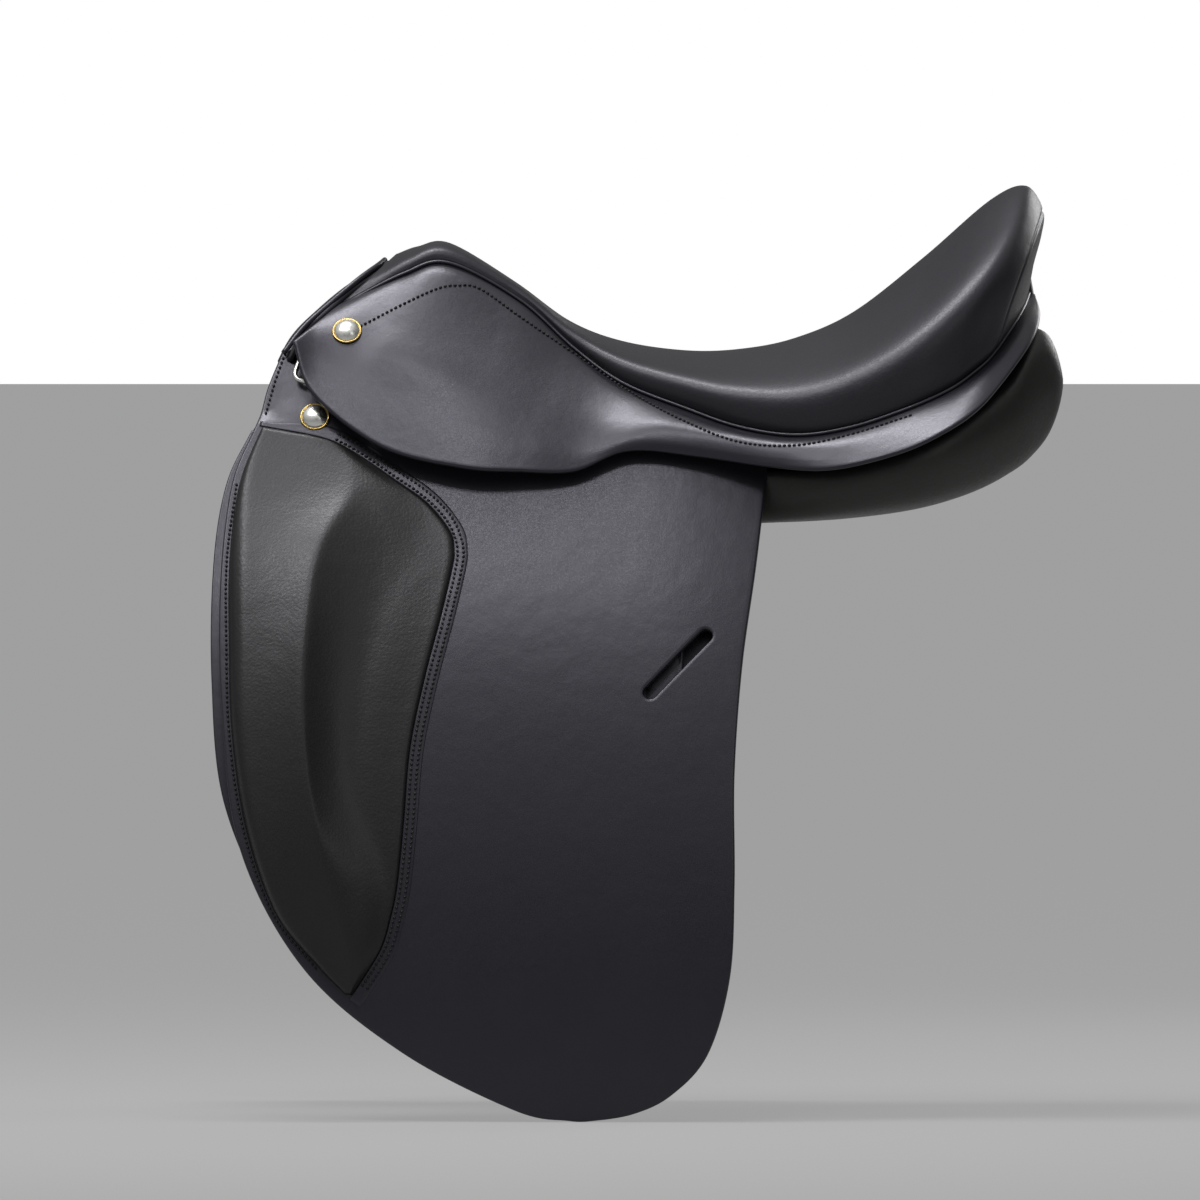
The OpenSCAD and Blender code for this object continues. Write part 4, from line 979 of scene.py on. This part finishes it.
half_tab = [(0, TAB_FOOT), (10, TAB_FOOT + 2), (TAB_HALF, TAB_FOOT + 9), (TAB_HALF, TAB_TOP)]
tab_loop = outline([(-y, z) for y, z in half_tab[:0:-1]] + half_tab,
                   [(TAB_HALF, TAB_TOP), (0, TAB_TOP + 3), (-TAB_HALF, TAB_TOP)], step=2.0)
tab = piece("cantle_tab", *cut(tab_loop, tab_place, 3.0, spacing=4, roll=0.8), BRIDLE)
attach(tab, "saddle")

lining_at = np.linspace(2, 13, 67), np.linspace(1.5, 4.5, 25)
lining_sides = [surface(sunk_net(depth), *lining_at) for depth in LINING_DEPTHS]
lining = piece("gullet_canvas", *between(*lining_sides), LINING)
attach(lining, "saddle")
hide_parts("gullet_lining")
print("arch, head, tab and lining made")

# %% [markdown]
# ## Hardware
# Four plain nails with domed steel heads in brass rims, two wire Dees in leather loops, and the stirrup
# bars with their catches. Nails are turned, so a profile is turned here; a Dee is bent from wire, so a ring
# runs along its line. The bars, catches and rivets come from the model.

# %% Nails
def lathe(profile, at, axis, segments=40):
    """Turned piece: a profile of (radius, height) turned about an axis."""
    axis = unit(np.asarray(axis, float))
    u = unit(np.cross(axis, [1, 0, 0]))
    w = np.cross(axis, u)
    turn = circle(segments)
    ring = u * turn[:, :1] + w * turn[:, 1:]
    return loft(np.array([at + axis * h + ring * r for r, h in profile]))


def join(*made):
    verts, faces, count = [], [], 0
    for v, f in made:
        verts.append(v)
        faces += [[i + count for i in face] for face in f]
        count += len(v)
    return np.concatenate(verts), faces


NAIL, DOME, COLLAR, WALL = 19.0, 4.0, 1.4, 1.2
SHANK, SHANK_LONG = 1.5, 6
UPPER_NAIL, LOWER_NAIL = (-188, 126.5), (-208.5, 71.5)
(upper_at,), (upper_way,) = laid_on(skirts["left"], [UPPER_NAIL], 0.2)
nails = [(upper_at / MM, upper_way), (side(np.array(LOWER_NAIL), 0.3), AXES[2])]
nail_head = NAIL / 2 - WALL - 0.05
ball = (nail_head * nail_head + DOME * DOME) / (2 * DOME)
dome_profile = [(SHANK, -SHANK_LONG), (SHANK, 0), (nail_head, 0)]
for q in np.linspace(0.999, 0.0, 12)[:-1]:
    dome_profile.append((nail_head * q, COLLAR + DOME - ball + math.sqrt(ball * ball - (nail_head * q) ** 2)))
dome_profile.append((0.4, COLLAR + DOME))
rim_profile = [(NAIL / 2 - WALL / 2 + 0.5 * math.cos(q) * WALL, COLLAR * 0.5 + 0.5 * COLLAR * math.sin(q))
               for q in np.linspace(-0.5 * np.pi, 1.5 * np.pi, 17)]
KINDS = [("nail_heads", dome_profile, "nail_domes", STEEL, "steel"),
         ("nail_rims", rim_profile, "nail_collars", BRASS, "brass")]
for name, profile, node, material, kind in KINDS:
    left = join(*[lathe(profile, at, axis) for at, axis in nails])
    obj = piece(name, *join(left, (left[0] * MIRROR, left[1])), material)
    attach(obj, "saddle")
    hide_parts(node)
print("nails", 2 * len(nails))

# %% Dees and their loops
DEE_AT, DEE_TILT, DEE_OUT = (-205.0, 110.0), math.radians(-16), 3.9
DEE_W, DEE_H, WIRE, TOP_CORNER, LOW_CORNER = 20.0, 18.0, 1.6, 2, 5.0
dee_origin = side(np.array(DEE_AT))
dee_x = AXES[0] * math.cos(DEE_TILT) + AXES[1] * math.sin(DEE_TILT)
dee_y = AXES[1] * math.cos(DEE_TILT) - AXES[0] * math.sin(DEE_TILT)


def dee_place(x, y, out):
    """Places points of the Dee's own plane on the head of the flap."""
    parts = [np.multiply.outer(value, axis) for value, axis in ((x, dee_x), (y, dee_y), (out, AXES[2]))]
    return dee_origin + parts[0] + parts[1] + parts[2]


half_w, deep = DEE_W / 2 + WIRE, DEE_H + 2 * WIRE
quarter = np.linspace(0, np.pi / 2, 8)
wire = []
for k, (hand, low) in enumerate(((1, 0), (-1, 0), (-1, 1), (1, 1))):
    radius = LOW_CORNER if low else TOP_CORNER
    x, y = hand * (half_w - radius), radius - deep if low else -radius
    wire += [(x + radius * math.cos(q), y + radius * math.sin(q)) for q in quarter + k * np.pi / 2]
wire = np.array(wire)
wire_turn = circle(14)
dee_rings = []
for at, aside in zip(wire, turned_left(unit(np.roll(wire, -1, 0) - np.roll(wire, 1, 0)))):
    x, y = (at + WIRE * wire_turn[:, :1] * aside).T
    dee_rings.append(dee_place(x, y, DEE_OUT + WIRE * wire_turn[:, 1]))
dee_rings = np.array(dee_rings)
number = np.arange(len(wire) * len(wire_turn)).reshape(len(wire), len(wire_turn))
after = np.roll(number, -1, 0)
dee_faces = np.stack([number, np.roll(number, -1, 1), np.roll(after, -1, 1), after], -1).reshape(-1, 4)
for name, obj in both("dee_wire", (dee_rings.reshape(-1, 3), dee_faces), STEEL).items():
    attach(obj, name + "_dee")
    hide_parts(name + "_dee")

LOOP_W, LOOP_R, LOOP_LEATHER, LOOP_LONG = 13.0, 3.6, 1.8, 9.0
bow = np.linspace(-0.5 * np.pi, -1.5 * np.pi, 17)
loop_line = [(LOOP_LONG, DEE_OUT + 1.2), (4.5, DEE_OUT + LOOP_R - 0.6)]
loop_line += [(LOOP_R * math.cos(q), DEE_OUT - LOOP_R * math.sin(q)) for q in bow]
loop_line = np.array(loop_line + [(LOOP_LONG, DEE_OUT - LOOP_R)])
inside_line = loop_line + unit(np.array([2.0, DEE_OUT]) - loop_line) * LOOP_LEATHER
spread = np.linspace(-LOOP_W / 2, LOOP_W / 2, 9)
loop_out, loop_in = [np.array([[dee_place(x, y, out) for x in spread] for y, out in line])
                     for line in (loop_line, inside_line)]
for name, obj in both("dee_loop", between(loop_out, loop_in), BRIDLE).items():
    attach(obj, "saddle")
    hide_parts(name + "_dee_chape")
print("Dees", len(dee_faces), "faces each")

# %% Finishes of the pieces that come from the model
KEPT = {"tree": SCRIM, "left_tree_point": SCRIM, "right_tree_point": SCRIM, "seat_web": WEBBING,
        "head_plate": IRON, "left_spring": IRON, "right_spring": IRON, "stirrup_bar_rivets": STEEL}
for name in ("left", "right"):
    KEPT.update({f"{name}_{n}": STEEL for n in ("stirrup_bar", "bar_catch", "catch_pin")})
for name, material in KEPT.items():
    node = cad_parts[name]
    node.data.materials.clear()
    node.data.materials.append(material)
print("model pieces finished", len(KEPT))

# %% [markdown]
# ## Thread
# Saddlers sew with waxed linen in an even, slightly slanted stitch, about eight to the inch. Each row is a
# line laid on the leather; a Geometry Nodes tree sets one stitch per pitch along it, so pitch, length and
# slant stay easy to change.

# %% Stitch tree
SEGMENTS, RINGS = 8, 5
stitch_tree = bpy.data.node_groups.new("stitch_row", "GeometryNodeTree")


def socket(name, kind, way="INPUT"):
    return stitch_tree.interface.new_socket(name, in_out=way, socket_type="NodeSocket" + kind)


socket("Geometry", "Geometry")
sockets = {}
for key, value in (("Pitch", 3.2 * MM), ("Stitch length", 2.4 * MM), ("Thread radius", 0.9 * MM),
                   ("Slant", 0.15)):
    sockets[key] = socket(key, "Float")
    sockets[key].default_value = value
sockets["Thread"] = socket("Thread", "Material")
socket("Geometry", "Geometry", "OUTPUT")


def knot(kind, inputs=(), **settings):
    return add(stitch_tree, kind, inputs, **settings).outputs[0]


given = add(stitch_tree, "NodeGroupInput").outputs
thread_line = knot("GeometryNodeMeshToCurve", {0: given["Geometry"]})
spaced = knot("GeometryNodeResampleCurve", {"Curve": thread_line, "Length": given["Pitch"]}, mode="LENGTH")
half_stitch = combine(stitch_tree, "MULTIPLY", given["Stitch length"], 0.5)
thick = given["Thread radius"]
bead_size = knot("ShaderNodeCombineXYZ", {0: half_stitch, 1: thick, 2: thick})
bead = knot("GeometryNodeMeshUVSphere", {"Segments": SEGMENTS, "Rings": RINGS, "Radius": 1.0})
stitch = knot("GeometryNodeTransform", {"Geometry": bead, "Scale": bead_size})
grain_side = knot("GeometryNodeInputNamedAttribute", {"Name": "up"}, data_type="FLOAT_VECTOR")
on_row = knot("FunctionNodeAlignRotationToVector", {"Vector": knot("GeometryNodeInputTangent")}, axis="X")
level = knot("FunctionNodeAlignRotationToVector", {"Rotation": on_row, "Vector": grain_side}, axis="Z",
             pivot_axis="X")
slanted = knot("ShaderNodeCombineXYZ", {2: given["Slant"]})
turned = knot("FunctionNodeRotateRotation", {0: level, 1: slanted}, rotation_space="LOCAL")
sewn = knot("GeometryNodeInstanceOnPoints", {"Points": spaced, "Instance": stitch, "Rotation": turned})
real = knot("GeometryNodeRealizeInstances", {0: sewn})
painted = knot("GeometryNodeSetMaterial", {"Geometry": real, "Material": given["Thread"]})
add(stitch_tree, "NodeGroupOutput", {0: painted})


def sew(name, points, up, **values):
    """A row of stitches along a line of points, made into a plain mesh."""
    mesh = bpy.data.meshes.new(name)
    mesh.from_pydata(points.tolist(), [(k, k + 1) for k in range(len(points) - 1)], [])
    grain_side = mesh.attributes.new("up", "FLOAT_VECTOR", "POINT")
    grain_side.data.foreach_set("vector", up.astype(np.float32).ravel())
    obj = put(name, mesh)
    modifier = obj.modifiers.new("stitches", "NODES")
    modifier.node_group = stitch_tree
    for key, value in {"Thread": THREAD, **values}.items():
        modifier[sockets[key].identifier] = value
    graph = bpy.context.evaluated_depsgraph_get()
    made = bpy.data.meshes.new_from_object(obj.evaluated_get(graph))
    obj.modifiers.clear()
    obj.data = made
    made.name = name
    made.shade_smooth()
    return obj


print("stitch tree", len(stitch_tree.nodes), "nodes")

# %% Rows of stitches
STITCH_LIFT = 0.25
SKIRT_SEW = [
    (-179, 130), (-152, 144), (-130, 154), (-117, 156), (-103, 154), (-77, 136), (-42, 112), (-7, 88),
    (29, 69), (64, 56), (100, 54), (135, 61), (173, 73)]
FRONT_SEW = [(-228, 112), (-234, 95), (-240, 74)]
KNEE_SEW = inset(np.array(KNEE_FRONT, float), -1.6)[1:-1]
SEWN = [
    ("skirt", skirts, SKIRT_SEW, 0.15), ("head", flaps, FRONT_SEW, 0.15),
    ("knee_front", flaps, KNEE_SEW, 0.15), ("knee_inner", borders, beside(2.2)[20::6], 0.5),
    ("knee_outer", borders, beside(6.0)[20::6], -0.5)]
stitched = 0
for row, on, path, slant in SEWN:
    points, up = laid_on(on["left"], resample(curve(path, 40 * len(path)), 2.0), STITCH_LIFT)
    for name, flip in (("left", 1), ("right", MIRROR)):
        obj = sew(f"{name}_{row}_stitches", points * flip, up * flip, Slant=slant)
        if row.startswith("knee"):
            hang(obj, name)
        else:
            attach(obj, "saddle")
        stitched += len(obj.data.polygons) // (SEGMENTS * RINGS)
print("stitches", stitched)
